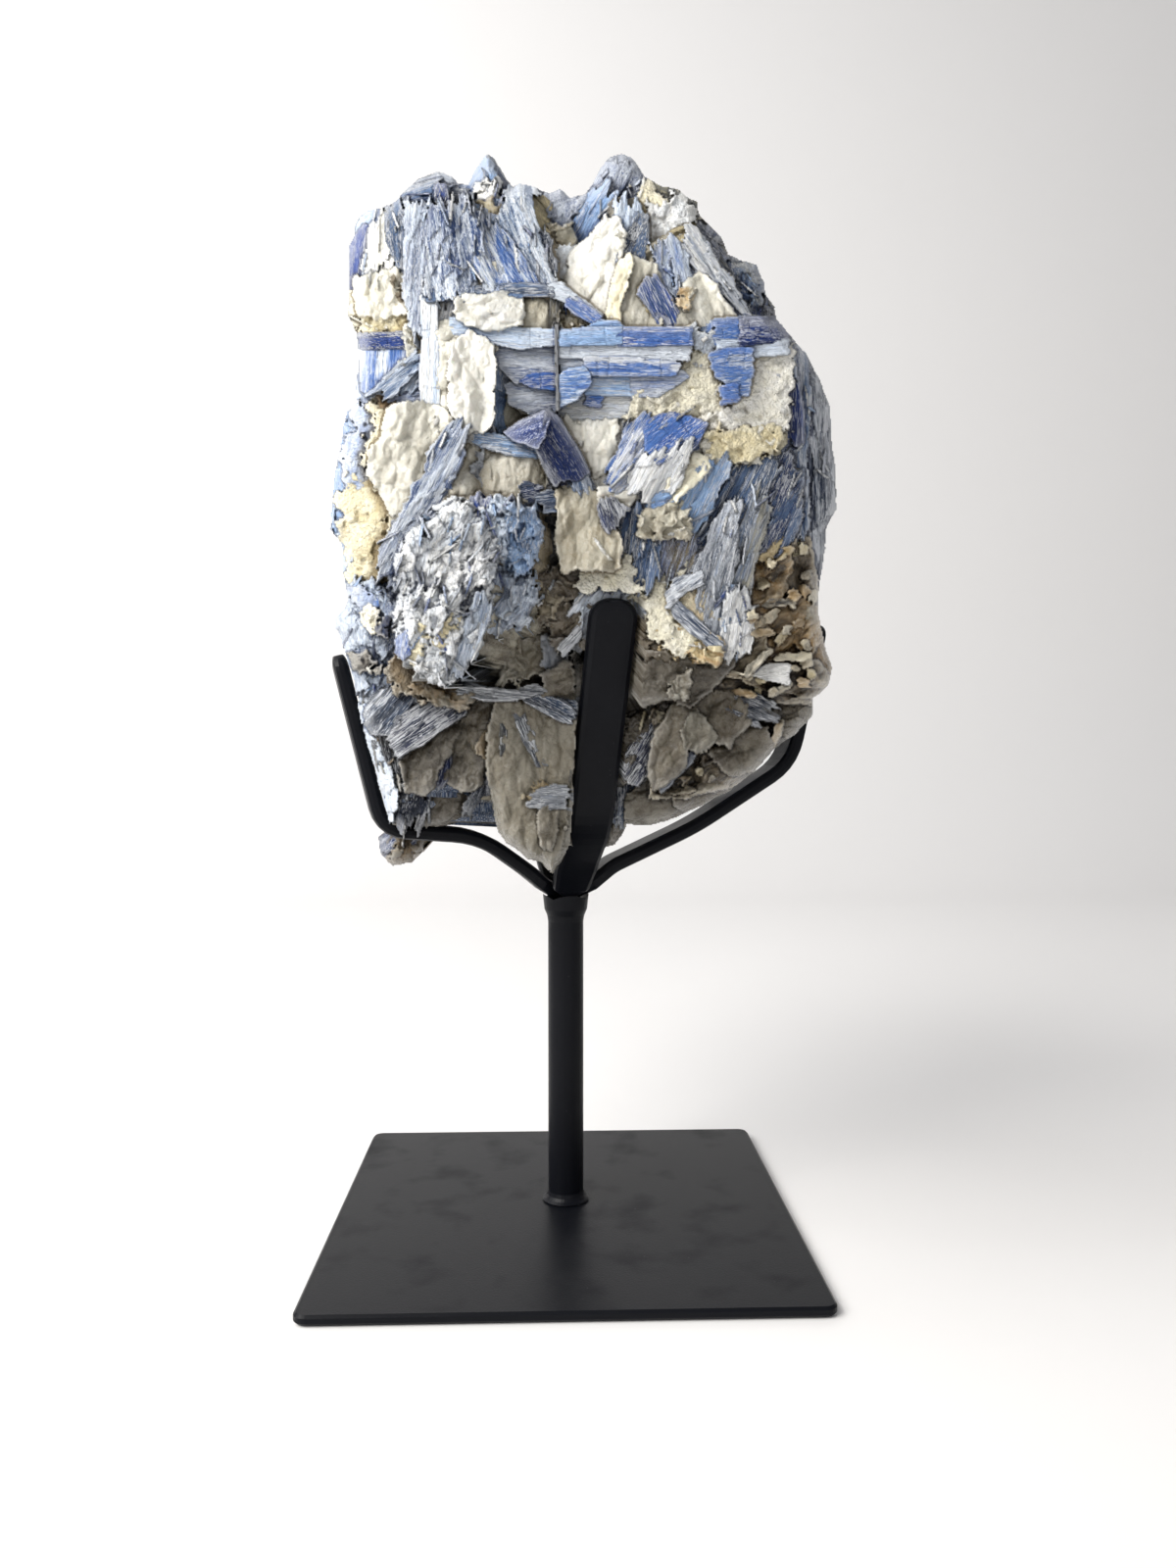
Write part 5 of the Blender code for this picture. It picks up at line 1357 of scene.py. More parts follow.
def random_outline(pick, length, width, blade):
    """A crystal's outline: long sides nearly level and slanted ends, or an uneven polygon."""
    if blade:
        slant = pick.uniform(-0.35, 0.35, 2) * width
        wide = width * pick.uniform(0.75, 1.0, 4)
        half = length / 2
        return np.array([
            (-half - slant[0], -wide[0] / 2), (-length * 0.1, -width / 2), (half - slant[1], -wide[1] / 2),
            (half + slant[1], wide[2] / 2), (length * 0.15, width / 2), (-half + slant[0], wide[3] / 2),
        ])
    even = np.linspace(0, 2 * math.pi, 7, endpoint=False)
    angles = np.sort(pick.uniform(0, 2 * math.pi, 7) * 0.35 + even * 0.65)
    reach = pick.uniform(0.75, 1.05, 7)
    return np.stack((reach * np.cos(angles) * length / 2, reach * np.sin(angles) * width / 2), axis=1)


def set_crystal(heap, front, hit, pick, number, lead):
    """One crystal lying on the model's stone: flat on its face there, its grain near upright.

    It is sunk until nothing of it shows past the front, or left out.
    """
    place, normal = hit
    kind, tone, shade = MIXES[int(pick.integers(len(MIXES)))]
    blade = kind in ("blade", "fibre")
    length = pick.uniform(1.6, 4.6) if blade else pick.uniform(0.9, 2.2)
    width = pick.uniform(0.35, 1.15) if blade else length * pick.uniform(0.5, 0.9)
    up = np.array((0, 0, 1.0)) if abs(normal[2]) < 0.85 else np.array((1.0, 0, 0))
    tilt = math.radians(lead + pick.normal(0, 14))
    normal = normal + pick.normal(0, 0.13, 3)
    normal /= np.linalg.norm(normal)
    side = np.cross(up, normal)
    side /= np.linalg.norm(side)
    rise = np.cross(normal, side)
    along = rise * math.cos(tilt) + side * math.sin(tilt)
    across = np.cross(normal, along)
    outline = random_outline(pick, length, width, blade)
    surface, fleck = crystal_surface(outline, kind, pick.uniform(0.6, 1.0), 0.076, 900 + number, 1.1)
    proud = pick.uniform(-0.12, 0.16)
    for sunk in range(8):
        world = place + surface[..., 0:1] * along + surface[..., 1:2] * across
        world = world + (surface[..., 2:3] + proud - 0.12 * sunk) * normal
        inside, face = front.sample(world.reshape(-1, 3))
        if not ((inside < 1) | (world.reshape(-1, 3)[:, 1] < face + 0.05)).any():
            heap.add(surface, fleck, world, kind, tone, shade, 0.8, 900 + number)
            return


def spread_crystals(heap, front, tree, azimuths, heights, count, seed):
    """Crystals over a stretch of the stone's sides, spaced by golden-ratio steps."""
    pick = np.random.default_rng(seed)
    for number in range(count):
        share = (number * 0.6180339887) % 1
        azimuth = math.radians(azimuths[0] + (azimuths[1] - azimuths[0]) * share)
        height = heights[0] + (heights[1] - heights[0]) * (number + 0.5) / count
        out = np.array((math.cos(azimuth), math.sin(azimuth), 0))
        hit = stone_hit(tree, np.array((*STONE_MIDDLE, height)) + out * 9, -out)
        if hit is None:
            continue
        lead = 28 * float(noise(np.array(azimuth * 1.2), np.array(height * 0.35), 77))
        set_crystal(heap, front, hit, pick, seed * 100 + number, lead)


def spread_caps(heap, front, tree, centre, radii, direction, count, seed):
    """Crystals over the stone's top or underside, on a sunflower spiral."""
    pick = np.random.default_rng(seed)
    for number in range(count):
        far = math.sqrt((number + 0.5) / count)
        angle = number * 2.39996
        x, y = centre[0] + radii[0] * far * math.cos(angle), centre[1] + radii[1] * far * math.sin(angle)
        start = np.array((x, y, 15.0)) - 15 * np.array((0, 0, direction))
        hit = stone_hit(tree, start, (0, 0, direction))
        if hit is None:
            continue
        set_crystal(heap, front, hit, pick, seed * 100 + number, pick.uniform(-40, 40))


# --- Materials


def group_output(group, sockets):
    """Adds a group's output sockets and its output node."""
    for name, kind in sockets:
        group.interface.new_socket(name, in_out="OUTPUT", socket_type=kind)
    return group.nodes.new("NodeGroupOutput")


def streaks_group():
    """Streaks along a crystal's grain: noise squeezed across it, coarse and fine, from 0 to 1."""
    if "grain_streaks" in bpy.data.node_groups:
        return bpy.data.node_groups["grain_streaks"]
    group = bpy.data.node_groups.new("grain_streaks", "ShaderNodeTree")
    group.interface.new_socket("Along", in_out="INPUT", socket_type="NodeSocketFloat").default_value = 0.5
    group.interface.new_socket("Across", in_out="INPUT", socket_type="NodeSocketFloat").default_value = 6.0
    out = group_output(
        group, (("Coarse", "NodeSocketFloat"), ("Fine", "NodeSocketFloat"), ("Hair", "NodeSocketFloat"))
    )
    nodes, links = group.nodes, group.links
    inputs = nodes.new("NodeGroupInput")
    grain = nodes.new("ShaderNodeAttribute")
    grain.attribute_name = "grain"
    scale = nodes.new("ShaderNodeCombineXYZ")
    links.new(inputs.outputs["Along"], scale.inputs["X"])
    links.new(inputs.outputs["Across"], scale.inputs["Y"])
    links.new(inputs.outputs["Across"], scale.inputs["Z"])
    squeezed = nodes.new("ShaderNodeVectorMath")
    squeezed.operation = "MULTIPLY"
    links.new(grain.outputs["Vector"], squeezed.inputs[0])
    links.new(scale.outputs["Vector"], squeezed.inputs[1])
    for name, size, detail in (("Coarse", 1.0, 4.0), ("Fine", 3.2, 4.0), ("Hair", 8.0, 3.0)):
        grainy = nodes.new("ShaderNodeTexNoise")
        grainy.inputs["Scale"].default_value = size
        grainy.inputs["Detail"].default_value = detail
        grainy.inputs["Roughness"].default_value = 0.6
        links.new(squeezed.outputs["Vector"], grainy.inputs["Vector"])
        spread = nodes.new("ShaderNodeMapRange")
        spread.inputs["From Min"].default_value = 0.38
        spread.inputs["From Max"].default_value = 0.62
        links.new(grainy.outputs["Fac"], spread.inputs["Value"])
        links.new(spread.outputs["Result"], out.inputs[name])
    return group


def mottle_group():
    """Cloudy patches in the crystal's own space, coarse and fine, from 0 to 1."""
    if "mottle" in bpy.data.node_groups:
        return bpy.data.node_groups["mottle"]
    group = bpy.data.node_groups.new("mottle", "ShaderNodeTree")
    group.interface.new_socket("Size", in_out="INPUT", socket_type="NodeSocketFloat").default_value = 2.0
    out = group_output(group, (("Clouds", "NodeSocketFloat"), ("Grains", "NodeSocketFloat")))
    nodes, links = group.nodes, group.links
    inputs = nodes.new("NodeGroupInput")
    grain = nodes.new("ShaderNodeAttribute")
    grain.attribute_name = "grain"
    sized = nodes.new("ShaderNodeVectorMath")
    sized.operation = "SCALE"
    links.new(grain.outputs["Vector"], sized.inputs[0])
    links.new(inputs.outputs["Size"], sized.inputs["Scale"])
    clouds = nodes.new("ShaderNodeTexNoise")
    clouds.inputs["Scale"].default_value = 1.0
    clouds.inputs["Detail"].default_value = 7.0
    clouds.inputs["Roughness"].default_value = 0.62
    clouds.inputs["Distortion"].default_value = 0.6
    links.new(sized.outputs["Vector"], clouds.inputs["Vector"])
    spread = nodes.new("ShaderNodeMapRange")
    spread.inputs["From Min"].default_value = 0.35
    spread.inputs["From Max"].default_value = 0.65
    links.new(clouds.outputs["Fac"], spread.inputs["Value"])
    links.new(spread.outputs["Result"], out.inputs["Clouds"])
    grains = nodes.new("ShaderNodeTexVoronoi")
    grains.inputs["Scale"].default_value = 7.0
    links.new(sized.outputs["Vector"], grains.inputs["Vector"])
    links.new(grains.outputs["Distance"], out.inputs["Grains"])
    return group


def new_material(name):
    """An empty material with its shader, nodes and links."""
    made = bpy.data.materials.new(name)
    made.use_nodes = True
    tree = made.node_tree
    return made, tree.nodes["Principled BSDF"], tree.nodes, tree.links


def attribute(nodes, name):
    """A node that reads one of the mesh's own attributes."""
    node = nodes.new("ShaderNodeAttribute")
    node.attribute_name = name
    return node


def feed(links, sockets, values):
    """Joins each input to its socket, or sets it where it is a plain value."""
    for socket, value in zip(sockets, values):
        if isinstance(value, bpy.types.NodeSocket):
            links.new(value, socket)
        else:
            socket.default_value = value


def mixed(nodes, links, factor, first, second, blend="MIX"):
    """A colour mix node; each input is a socket or a plain value."""
    node = nodes.new("ShaderNodeMix")
    node.data_type = "RGBA"
    node.blend_type = blend
    feed(links, (node.inputs["Factor"], node.inputs["A"], node.inputs["B"]), (factor, first, second))
    return node.outputs["Result"]


def maths(nodes, links, operation, *values):
    """A maths node; each value is a socket or a number."""
    node = nodes.new("ShaderNodeMath")
    node.operation = operation
    feed(links, node.inputs, values)
    return node.outputs["Value"]


def bump(nodes, links, height, strength, distance, before=None):
    """A bump node over an optional earlier one."""
    node = nodes.new("ShaderNodeBump")
    node.inputs["Strength"].default_value = strength
    node.inputs["Distance"].default_value = distance
    links.new(height, node.inputs["Height"])
    if before:
        links.new(before, node.inputs["Normal"])
    return node.outputs["Normal"]


def ranged(nodes, links, value, low, high, top=1.0):
    """A value brought from between two limits to between 0 and the top, and held there."""
    node = nodes.new("ShaderNodeMapRange")
    node.inputs["From Min"].default_value = low
    node.inputs["From Max"].default_value = high
    node.inputs["To Max"].default_value = top
    links.new(value, node.inputs["Value"])
    return node.outputs["Result"]


def fleck_of(nodes, links):
    """The fleck, stored beside the relief that the painted shade and highlight follow."""
    parts = nodes.new("ShaderNodeSeparateXYZ")
    links.new(attribute(nodes, "relief_shade_and_fleck").outputs["Vector"], parts.inputs["Vector"])
    return parts.outputs["Z"]


def crease_shade_ridge_light(nodes, links, colour, dark, light, amount=0.5):
    """A colour with painted shade in the crevices and a painted highlight on the ridges, from how far the
    surface stands out from its surroundings.
    """
    relief_shade_and_fleck = attribute(nodes, "relief_shade_and_fleck")
    parts = nodes.new("ShaderNodeSeparateXYZ")
    links.new(relief_shade_and_fleck.outputs["Vector"], parts.inputs["Vector"])
    # Painted shade where the surface lies below its surroundings, painted highlight where it stands above
    # them
    both = maths(nodes, links, "MULTIPLY_ADD", parts.outputs["X"], 0.45, 0.0)
    both = maths(nodes, links, "MULTIPLY_ADD", parts.outputs["Y"], 0.55, both)
    colour = mixed(nodes, links, ranged(nodes, links, both, 0.05, 0.9, amount), colour, light)
    return mixed(nodes, links, ranged(nodes, links, both, -0.1, -1.0, 0.8), colour, dark, "MULTIPLY")


def placed_group(nodes, group, **values):
    """A group node with its own input values."""
    node = nodes.new("ShaderNodeGroup")
    node.node_tree = group
    for name, value in values.items():
        node.inputs[name].default_value = value
    return node


def kyanite():
    """Kyanite: the crystal's tone streaked with its shade along the grain, pearly, finely ridged."""
    name = "kyanite"
    if name in bpy.data.materials:
        return bpy.data.materials[name]
    made, shader, nodes, links = new_material(name)
    tone, shade = attribute(nodes, "tone"), attribute(nodes, "shade")
    streaks = placed_group(nodes, streaks_group(), Along=0.5, Across=5.0)
    cloud = placed_group(nodes, mottle_group(), Size=1.6)
    mask = maths(nodes, links, "MULTIPLY", streaks.outputs["Coarse"], 0.40)
    mask = maths(nodes, links, "MULTIPLY_ADD", streaks.outputs["Fine"], 0.38, mask)
    mask = maths(nodes, links, "MULTIPLY_ADD", streaks.outputs["Hair"], 0.22, mask)
    fleck = fleck_of(nodes, links)
    mask = maths(nodes, links, "ADD", mask, fleck)
    mask = ranged(nodes, links, mask, 0.65, 1.35)
    mask = maths(nodes, links, "MULTIPLY", mask, tone.outputs["Alpha"])
    colour = mixed(nodes, links, mask, tone.outputs["Color"], shade.outputs["Color"])
    # Painted shade in the crevices and painted highlight on the ridges
    colour = crease_shade_ridge_light(nodes, links, colour, (0.14, 0.17, 0.28, 1), (0.78, 0.80, 0.83, 1), 0.30)
    # Pale strands: partly the fibres' own whiteness, partly a painted sheen along them
    pale = maths(nodes, links, "ADD", streaks.outputs["Hair"], fleck)
    pale = ranged(nodes, links, pale, 1.0, 1.6, 0.75)
    pale = maths(nodes, links, "MULTIPLY", pale, tone.outputs["Alpha"])
    colour = mixed(nodes, links, pale, colour, (0.80, 0.82, 0.85, 1))
    dark = maths(nodes, links, "ADD", streaks.outputs["Fine"], fleck)
    dark = ranged(nodes, links, dark, 0.55, 0.15, 0.8)
    dark = maths(nodes, links, "MULTIPLY", dark, tone.outputs["Alpha"])
    colour = mixed(nodes, links, dark, colour, (0.28, 0.36, 0.52, 1), "MULTIPLY")
    links.new(colour, shader.inputs["Base Color"])
    roughness = maths(nodes, links, "MULTIPLY_ADD", streaks.outputs["Fine"], 0.25, 0.30)
    links.new(roughness, shader.inputs["Roughness"])
    first = bump(nodes, links, streaks.outputs["Fine"], 0.8, 0.0004)
    first = bump(nodes, links, streaks.outputs["Hair"], 0.6, 0.0002, first)
    links.new(bump(nodes, links, cloud.outputs["Clouds"], 0.25, 0.0006, first), shader.inputs["Normal"])
    shader.inputs["IOR"].default_value = 1.55
    shader.inputs["Specular IOR Level"].default_value = 0.3
    return made


def quartz():
    """Quartz: cloudy and waxy, its light sinking in a little, with a finely broken skin."""
    name = "quartz"
    if name in bpy.data.materials:
        return bpy.data.materials[name]
    made, shader, nodes, links = new_material(name)
    tone, shade = attribute(nodes, "tone"), attribute(nodes, "shade")
    cloud = placed_group(nodes, mottle_group(), Size=1.3)
    speck = placed_group(nodes, mottle_group(), Size=6.0)
    streaks = placed_group(nodes, streaks_group(), Along=0.8, Across=3.0)
    fleck = fleck_of(nodes, links)
    mask = maths(nodes, links, "MULTIPLY_ADD", streaks.outputs["Coarse"], 0.3, fleck)
    mask = maths(nodes, links, "MULTIPLY_ADD", cloud.outputs["Clouds"], 0.5, mask)
    mask = ranged(nodes, links, mask, 0.55, 1.25)
    mask = maths(nodes, links, "MULTIPLY", mask, tone.outputs["Alpha"])
    colour = mixed(nodes, links, mask, tone.outputs["Color"], shade.outputs["Color"])
    dark = maths(nodes, links, "MULTIPLY", speck.outputs["Clouds"], 0.20)
    dark = maths(nodes, links, "MULTIPLY_ADD", fleck, 0.25, dark)
    colour = mixed(nodes, links, dark, colour, (0.27, 0.25, 0.20, 1))
    # Painted shade in the crevices and painted highlight on the ridges
    colour = crease_shade_ridge_light(nodes, links, colour, (0.20, 0.17, 0.13, 1), (0.80, 0.79, 0.75, 1), 0.15)
    links.new(colour, shader.inputs["Base Color"])
    roughness = maths(nodes, links, "MULTIPLY_ADD", speck.outputs["Clouds"], 0.3, 0.12)
    links.new(roughness, shader.inputs["Roughness"])
    first = bump(nodes, links, speck.outputs["Clouds"], 0.35, 0.0005)
    links.new(bump(nodes, links, cloud.outputs["Clouds"], 0.3, 0.0012, first), shader.inputs["Normal"])
    shader.inputs["IOR"].default_value = 1.54
    shader.inputs["Specular IOR Level"].default_value = 0.4
    shader.inputs["Subsurface Weight"].default_value = 0.15
    shader.inputs["Subsurface Radius"].default_value = (1.0, 0.8, 0.6)
    shader.inputs["Subsurface Scale"].default_value = 0.002
    return made


def crust():
    """Crust: dull, crumbly grains of cream and yellow."""
    name = "crust"
    if name in bpy.data.materials:
        return bpy.data.materials[name]
    made, shader, nodes, links = new_material(name)
    tone, shade = attribute(nodes, "tone"), attribute(nodes, "shade")
    cloud = placed_group(nodes, mottle_group(), Size=2.4)
    speck = placed_group(nodes, mottle_group(), Size=9.0)
    mask = maths(nodes, links, "MULTIPLY", cloud.outputs["Clouds"], tone.outputs["Alpha"])
    colour = mixed(nodes, links, mask, tone.outputs["Color"], shade.outputs["Color"])
    dark = maths(nodes, links, "MULTIPLY", speck.outputs["Clouds"], 0.30)
    colour = mixed(nodes, links, dark, colour, (0.30, 0.26, 0.20, 1))
    # Painted shade in the crevices and painted highlight on the ridges
    colour = crease_shade_ridge_light(nodes, links, colour, (0.22, 0.17, 0.10, 1), (0.88, 0.86, 0.78, 1), 0.3)
    links.new(colour, shader.inputs["Base Color"])
    shader.inputs["Roughness"].default_value = 0.72
    first = bump(nodes, links, speck.outputs["Clouds"], 0.6, 0.0008)
    links.new(bump(nodes, links, cloud.outputs["Grains"], 0.4, 0.001, first), shader.inputs["Normal"])
    return made


def mica():
    """Mica: thin golden-brown sheets with a pearly, almost metallic shine."""
    name = "mica"
    if name in bpy.data.materials:
        return bpy.data.materials[name]
    made, shader, nodes, links = new_material(name)
    tone, shade = attribute(nodes, "tone"), attribute(nodes, "shade")
    cloud = placed_group(nodes, mottle_group(), Size=2.2)
    streaks = placed_group(nodes, streaks_group(), Along=1.2, Across=3.0)
    mask = maths(nodes, links, "MULTIPLY", cloud.outputs["Clouds"], tone.outputs["Alpha"])
    colour = mixed(nodes, links, mask, tone.outputs["Color"], shade.outputs["Color"])
    light = maths(nodes, links, "MULTIPLY", streaks.outputs["Fine"], 0.3)
    colour = mixed(nodes, links, light, colour, (0.62, 0.52, 0.36, 1))
    # Painted shade in the crevices and painted highlight on the ridges
    colour = crease_shade_ridge_light(nodes, links, colour, (0.12, 0.09, 0.05, 1), (0.80, 0.74, 0.60, 1), 0.35)
    links.new(colour, shader.inputs["Base Color"])
    roughness = maths(nodes, links, "MULTIPLY_ADD", cloud.outputs["Clouds"], 0.25, 0.18)
    links.new(roughness, shader.inputs["Roughness"])
    links.new(bump(nodes, links, streaks.outputs["Fine"], 0.5, 0.0006), shader.inputs["Normal"])
    shader.inputs["IOR"].default_value = 1.6
    shader.inputs["Coat Weight"].default_value = 0.3
    shader.inputs["Coat Roughness"].default_value = 0.15
    return made


STONE_FINISHES = (kyanite, quartz, crust, mica)


def powder_black():
    """Satin black powder coat: a fine orange-peel skin with dust specks and faint scuffs."""
    name = "powder_coat_black"
    if name in bpy.data.materials:
        return bpy.data.materials[name]
    made, shader, nodes, links = new_material(name)
    place = nodes.new("ShaderNodeTexCoord")
    peel = nodes.new("ShaderNodeTexNoise")
    peel.inputs["Scale"].default_value = 2600
    peel.inputs["Detail"].default_value = 3
    links.new(place.outputs["Object"], peel.inputs["Vector"])
    dust = nodes.new("ShaderNodeTexVoronoi")
    dust.inputs["Scale"].default_value = 420
    links.new(place.outputs["Object"], dust.inputs["Vector"])
    specks = nodes.new("ShaderNodeMapRange")
    specks.inputs["From Min"].default_value = 0.10
    specks.inputs["From Max"].default_value = 0.05
    links.new(dust.outputs["Distance"], specks.inputs["Value"])
    patches = nodes.new("ShaderNodeTexNoise")
    patches.inputs["Scale"].default_value = 90
    patches.inputs["Detail"].default_value = 6
    links.new(place.outputs["Object"], patches.inputs["Vector"])
    where = nodes.new("ShaderNodeMapRange")
    where.inputs["From Min"].default_value = 0.52
    where.inputs["From Max"].default_value = 0.72
    links.new(patches.outputs["Fac"], where.inputs["Value"])
    amount = maths(nodes, links, "MULTIPLY", specks.outputs["Result"], where.outputs["Result"])
    amount = maths(nodes, links, "MULTIPLY", amount, 0.35)
    colour = mixed(nodes, links, amount, (0.0035, 0.004, 0.006, 1), (0.10, 0.10, 0.11, 1))
    links.new(colour, shader.inputs["Base Color"])
    roughness = maths(nodes, links, "MULTIPLY_ADD", where.outputs["Result"], 0.12, 0.36)
    links.new(roughness, shader.inputs["Roughness"])
    shader.inputs["Specular IOR Level"].default_value = 0.12
    links.new(bump(nodes, links, peel.outputs["Fac"], 0.25, 0.00012), shader.inputs["Normal"])
    return made


# --- Settings, operators and panel


class StoneSettings(bpy.types.PropertyGroup):
    """What a user may change about the stone."""

    front_step: bpy.props.FloatProperty(
        name="Front detail", description="Spacing of the front's points, in frame pixels",
        default=1.1, min=0.8
    )
    side_count: bpy.props.IntProperty(
        name="Side crystals", description="How many crystals cover the sides and back", default=200, min=0
    )


class StageSettings(bpy.types.PropertyGroup):
    """What a user may change about the floor, the light and the camera."""

    floor_colour: bpy.props.FloatVectorProperty(
        name="Floor colour", description="Colour of the floor and backdrop", default=(0.80, 0.79, 0.78),
        subtype="COLOR", size=3, min=0, max=1,
    )
    key_power: bpy.props.FloatProperty(
        name="Key light", description="Power of the window-like light on the left",
        default=10.5, unit="POWER"
    )
    fill_power: bpy.props.FloatProperty(
        name="Fill light", description="Power of the light in front", default=0.8, unit="POWER"
    )


def finished(obj):
    """Makes a piece ride on the stand's body and stand for the model's stone."""
    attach(obj, "root")
    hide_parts("specimen")
    return {"FINISHED"}


class STONE_OT_core(bpy.types.Operator):
    """Build the rock between the crystals."""

    bl_idname = "stone.core"
    bl_label = "Core rock"

    def execute(self, context):
        heap = Heap()
        surface, points, fleck, patch = core_surface(stone_tree(), stone_front(context))
        heap.add(surface, fleck, points, "quartz", "olive", "smoky", 0.9, 5)
        inner = patch.size
        tones = np.array([(*TONES[tone], 0.9) for _, tone, _ in CORE_MIXES])
        shades = np.array([(*TONES[shade], 1.0) for _, _, shade in CORE_MIXES])
        heap.tone[0][:inner], heap.shade[0][:inner] = tones[patch.ravel()], shades[patch.ravel()]
        heap.quad_finish = [np.array([KINDS[kind][1] for kind, _, _ in CORE_MIXES])[patch[:-1].ravel()]]
        return finished(mesh_object("core_rock", heap))


class STONE_OT_front(bpy.types.Operator):
    """Build the front's crystals, one object for each zone."""

    bl_idname = "stone.front"
    bl_label = "Front crystals"

    def execute(self, context):
        for zone in ZONES:
            finished(stone_front(context).piece(zone))
        return {"FINISHED"}


class STONE_OT_sides(bpy.types.Operator):
    """Build the crystals of the sides, back, top and underside."""

    bl_idname = "stone.sides"
    bl_label = "Side and back crystals"

    def execute(self, context):
        tree, front = stone_tree(), stone_front(context)
        count = context.scene.stone_settings.side_count
        for name, azimuths, share, seed in (
            ("right_side_crystals", (-42, 35), 0.24, 31),
            ("back_right_crystals", (35, 92), 0.26, 32),
            ("back_left_crystals", (92, 150), 0.26, 33),
            ("left_side_crystals", (150, 222), 0.24, 34),
        ):
            heap = Heap()
            spread_crystals(heap, front, tree, azimuths, (9.2, 22.0), int(count * share), seed)
            finished(mesh_object(name, heap))
        heap = Heap()
        spread_caps(heap, front, tree, (-0.6, 0.5), (3.4, 1.5), -1, 18, 35)
        finished(mesh_object("top_crystals", heap))
        heap = Heap()
        spread_caps(heap, front, tree, (-0.3, 0.2), (3.2, 1.6), 1, 16, 36)
        finished(mesh_object("underside_crystals", heap))
        return {"FINISHED"}


class STONE_OT_stand(bpy.types.Operator):
    """Give the stand its black powder coat."""

    bl_idname = "stone.stand"
    bl_label = "Stand finish"

    def execute(self, context):
        coat = powder_black()
        for name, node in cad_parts.items():
            if name != "specimen":
                for slot in node.material_slots:
                    slot.material = coat
        return {"FINISHED"}


class STONE_OT_stage(bpy.types.Operator):
    """Set the floor, the backdrop, the light and the camera."""

    bl_idname = "stone.stage"
    bl_label = "Stage"

    def execute(self, context):
        settings = context.scene.stage_settings
        floor = sweep_floor(settings.floor_colour)
        warm, soft = (1.0, 0.98, 0.95), (1.0, 0.99, 0.97)
        add_area("key_light", (-0.55, -0.45, 0.62), (0.0, 0.0, 0.15), 0.55, settings.key_power, warm)
        add_area("fill_light", (0.25, -0.9, 0.35), (0.0, 0.0, 0.14), 0.6, settings.fill_power, soft)
        add_area("wall_light", (-0.9, 0.1, 0.9), (-0.2, 0.8, 0.35), 0.8, 9.0, (1.0, 1.0, 1.0))
        world = bpy.data.worlds.new("studio")
        world.use_nodes = True
        world.node_tree.nodes["Background"].inputs["Color"].default_value = (0.95, 0.96, 1.0, 1)
        world.node_tree.nodes["Background"].inputs["Strength"].default_value = 0.34
        context.scene.world = world
        context.scene.view_settings.view_transform = "Standard"
        context.scene.camera = add_camera()
        return {"FINISHED"}


def sweep_floor(colour):
    """A floor that curves up into a backdrop: a profile along Y and Z, carried along X."""
    bend = np.linspace(0, math.pi / 2, 16)
    back, radius = 0.55, 0.25
    curve = [(back + radius * math.sin(a), radius - radius * math.cos(a)) for a in bend]
    profile = np.array([(-2.0, 0.0), (0.0, 0.0), *curve, (back + radius, 2.5)])
    across = np.linspace(-3, 3, 2)
    points = [(x, y, z - 0.0002) for x in across for y, z in profile]
    count = len(profile)
    faces = [(i, i + 1, count + i + 1, count + i) for i in range(count - 1)]
    mesh = bpy.data.meshes.new("floor")
    mesh.from_pydata(points, [], faces)
    mesh.shade_smooth()
    made = bpy.data.objects.new("floor", mesh)
    bpy.context.scene.collection.objects.link(made)
    finish, shader, _, _ = new_material("studio_floor")
    shader.inputs["Base Color"].default_value = (*colour, 1)
    shader.inputs["Roughness"].default_value = 0.6
    mesh.materials.append(finish)
    return made


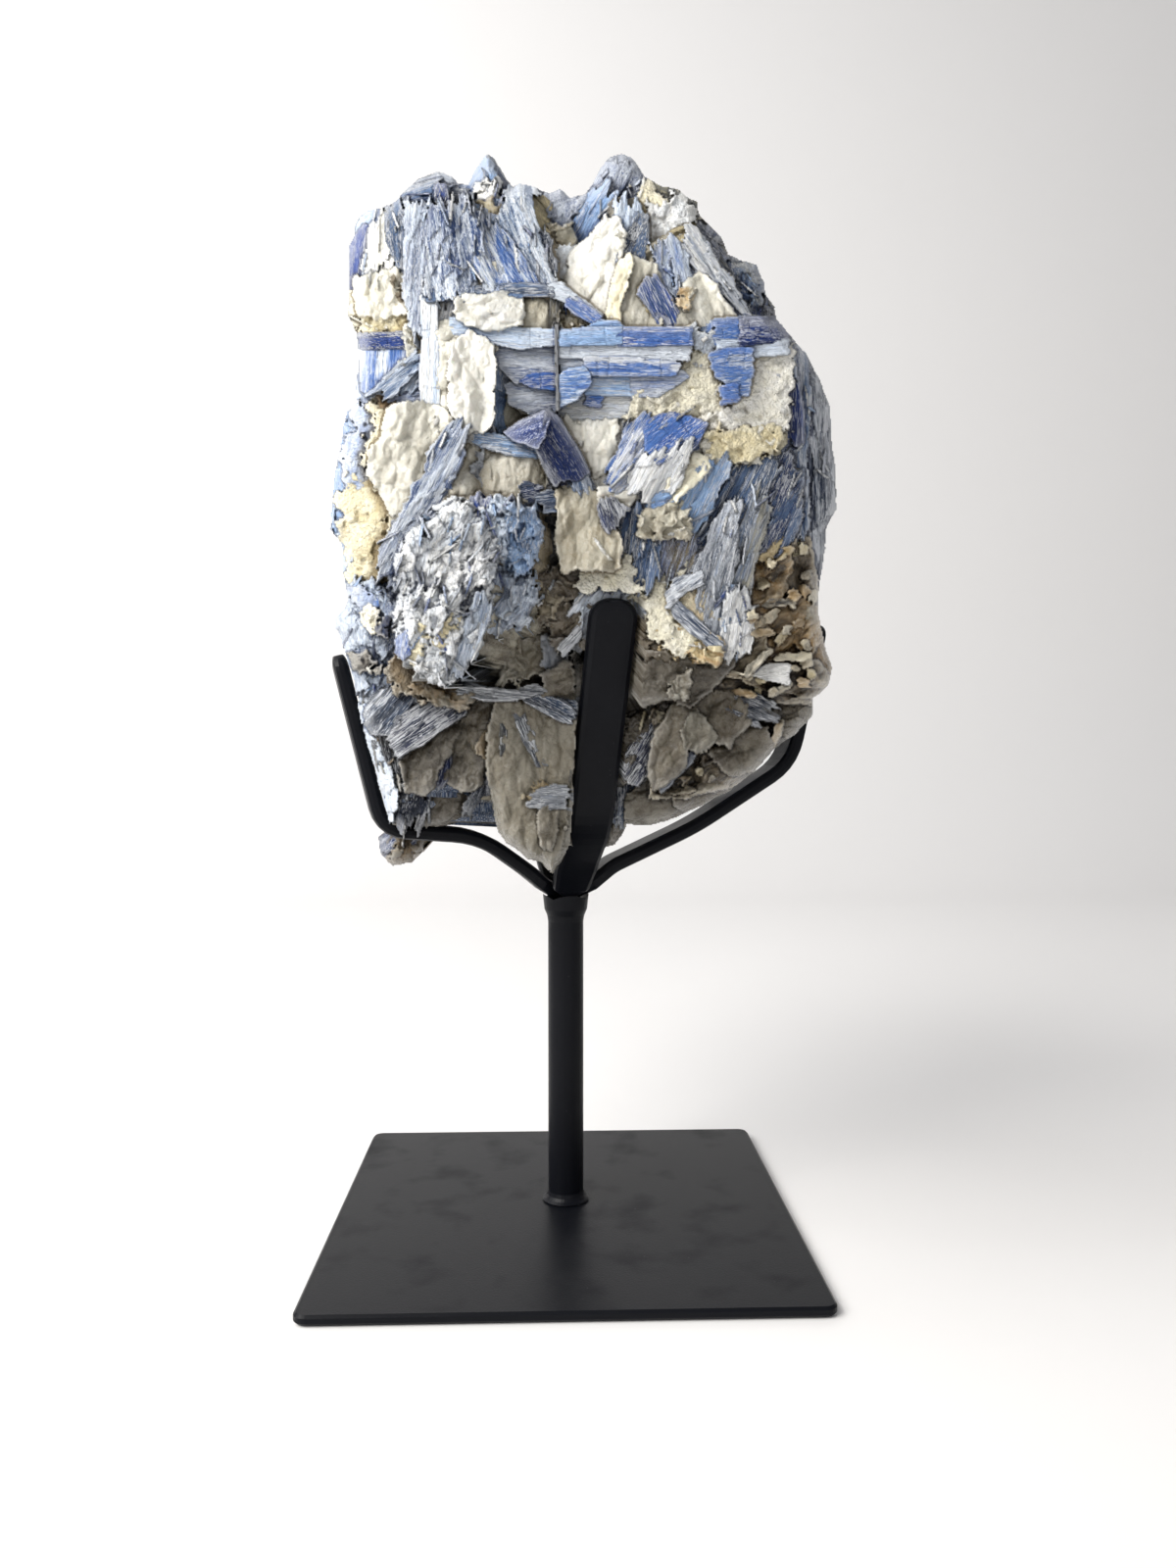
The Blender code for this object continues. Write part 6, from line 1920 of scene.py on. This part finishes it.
def add_area(name, place, target, size, power, colour):
    """A square soft light at a place, aimed at a target."""
    data = bpy.data.lights.new(name, "AREA")
    data.size = size
    data.energy = power
    data.color = colour
    made = bpy.data.objects.new(name, data)
    bpy.context.scene.collection.objects.link(made)
    made.location = place
    made.rotation_euler = (Vector(target) - Vector(place)).to_track_quat("-Z", "Y").to_euler()
    return made


def add_camera():
    """The camera at its own place and angle, its lens worked out from the focal length in pixels."""
    data = bpy.data.cameras.new("camera")
    data.sensor_width = SENSOR_MM
    data.lens = SENSOR_MM * FOCAL / FRAME_HEIGHT
    data.clip_start = 0.01
    made = bpy.data.objects.new("camera", data)
    bpy.context.scene.collection.objects.link(made)
    turned = Matrix((tuple(RIGHT), tuple(UP), tuple(-FORWARD))).transposed()
    made.matrix_world = Matrix.Translation(Vector(EYE) * CM) @ turned.to_4x4()
    return made


class STONE_PT_panel(bpy.types.Panel):
    """Lists the steps and settings in the 3D view's sidebar."""

    bl_idname = "STONE_PT_panel"
    bl_label = "Kyanite and quartz"
    bl_space_type = "VIEW_3D"
    bl_region_type = "UI"
    bl_category = "Specimen"

    def draw(self, context):
        for settings in (context.scene.stone_settings, context.scene.stage_settings):
            for name in settings.bl_rna.properties.keys():
                if name not in ("rna_type", "name"):
                    self.layout.prop(settings, name)
        for operator in OPERATORS:
            self.layout.operator(operator.bl_idname)


OPERATORS = (
    STONE_OT_stage,
    STONE_OT_stand,
    STONE_OT_core,
    STONE_OT_front,
    STONE_OT_sides,
)
CLASSES = (StoneSettings, StageSettings, *OPERATORS, STONE_PT_panel)


def register():
    for each in CLASSES:
        bpy.utils.register_class(each)
    bpy.types.Scene.stone_settings = bpy.props.PointerProperty(type=StoneSettings)
    bpy.types.Scene.stage_settings = bpy.props.PointerProperty(type=StageSettings)


def unregister():
    del bpy.types.Scene.stage_settings
    del bpy.types.Scene.stone_settings
    for each in reversed(CLASSES):
        bpy.utils.unregister_class(each)


def main():
    register()
    for operator in OPERATORS:
        group, name = operator.bl_idname.split(".")
        getattr(getattr(bpy.ops, group), name)()


if __name__ == "__main__":
    main()
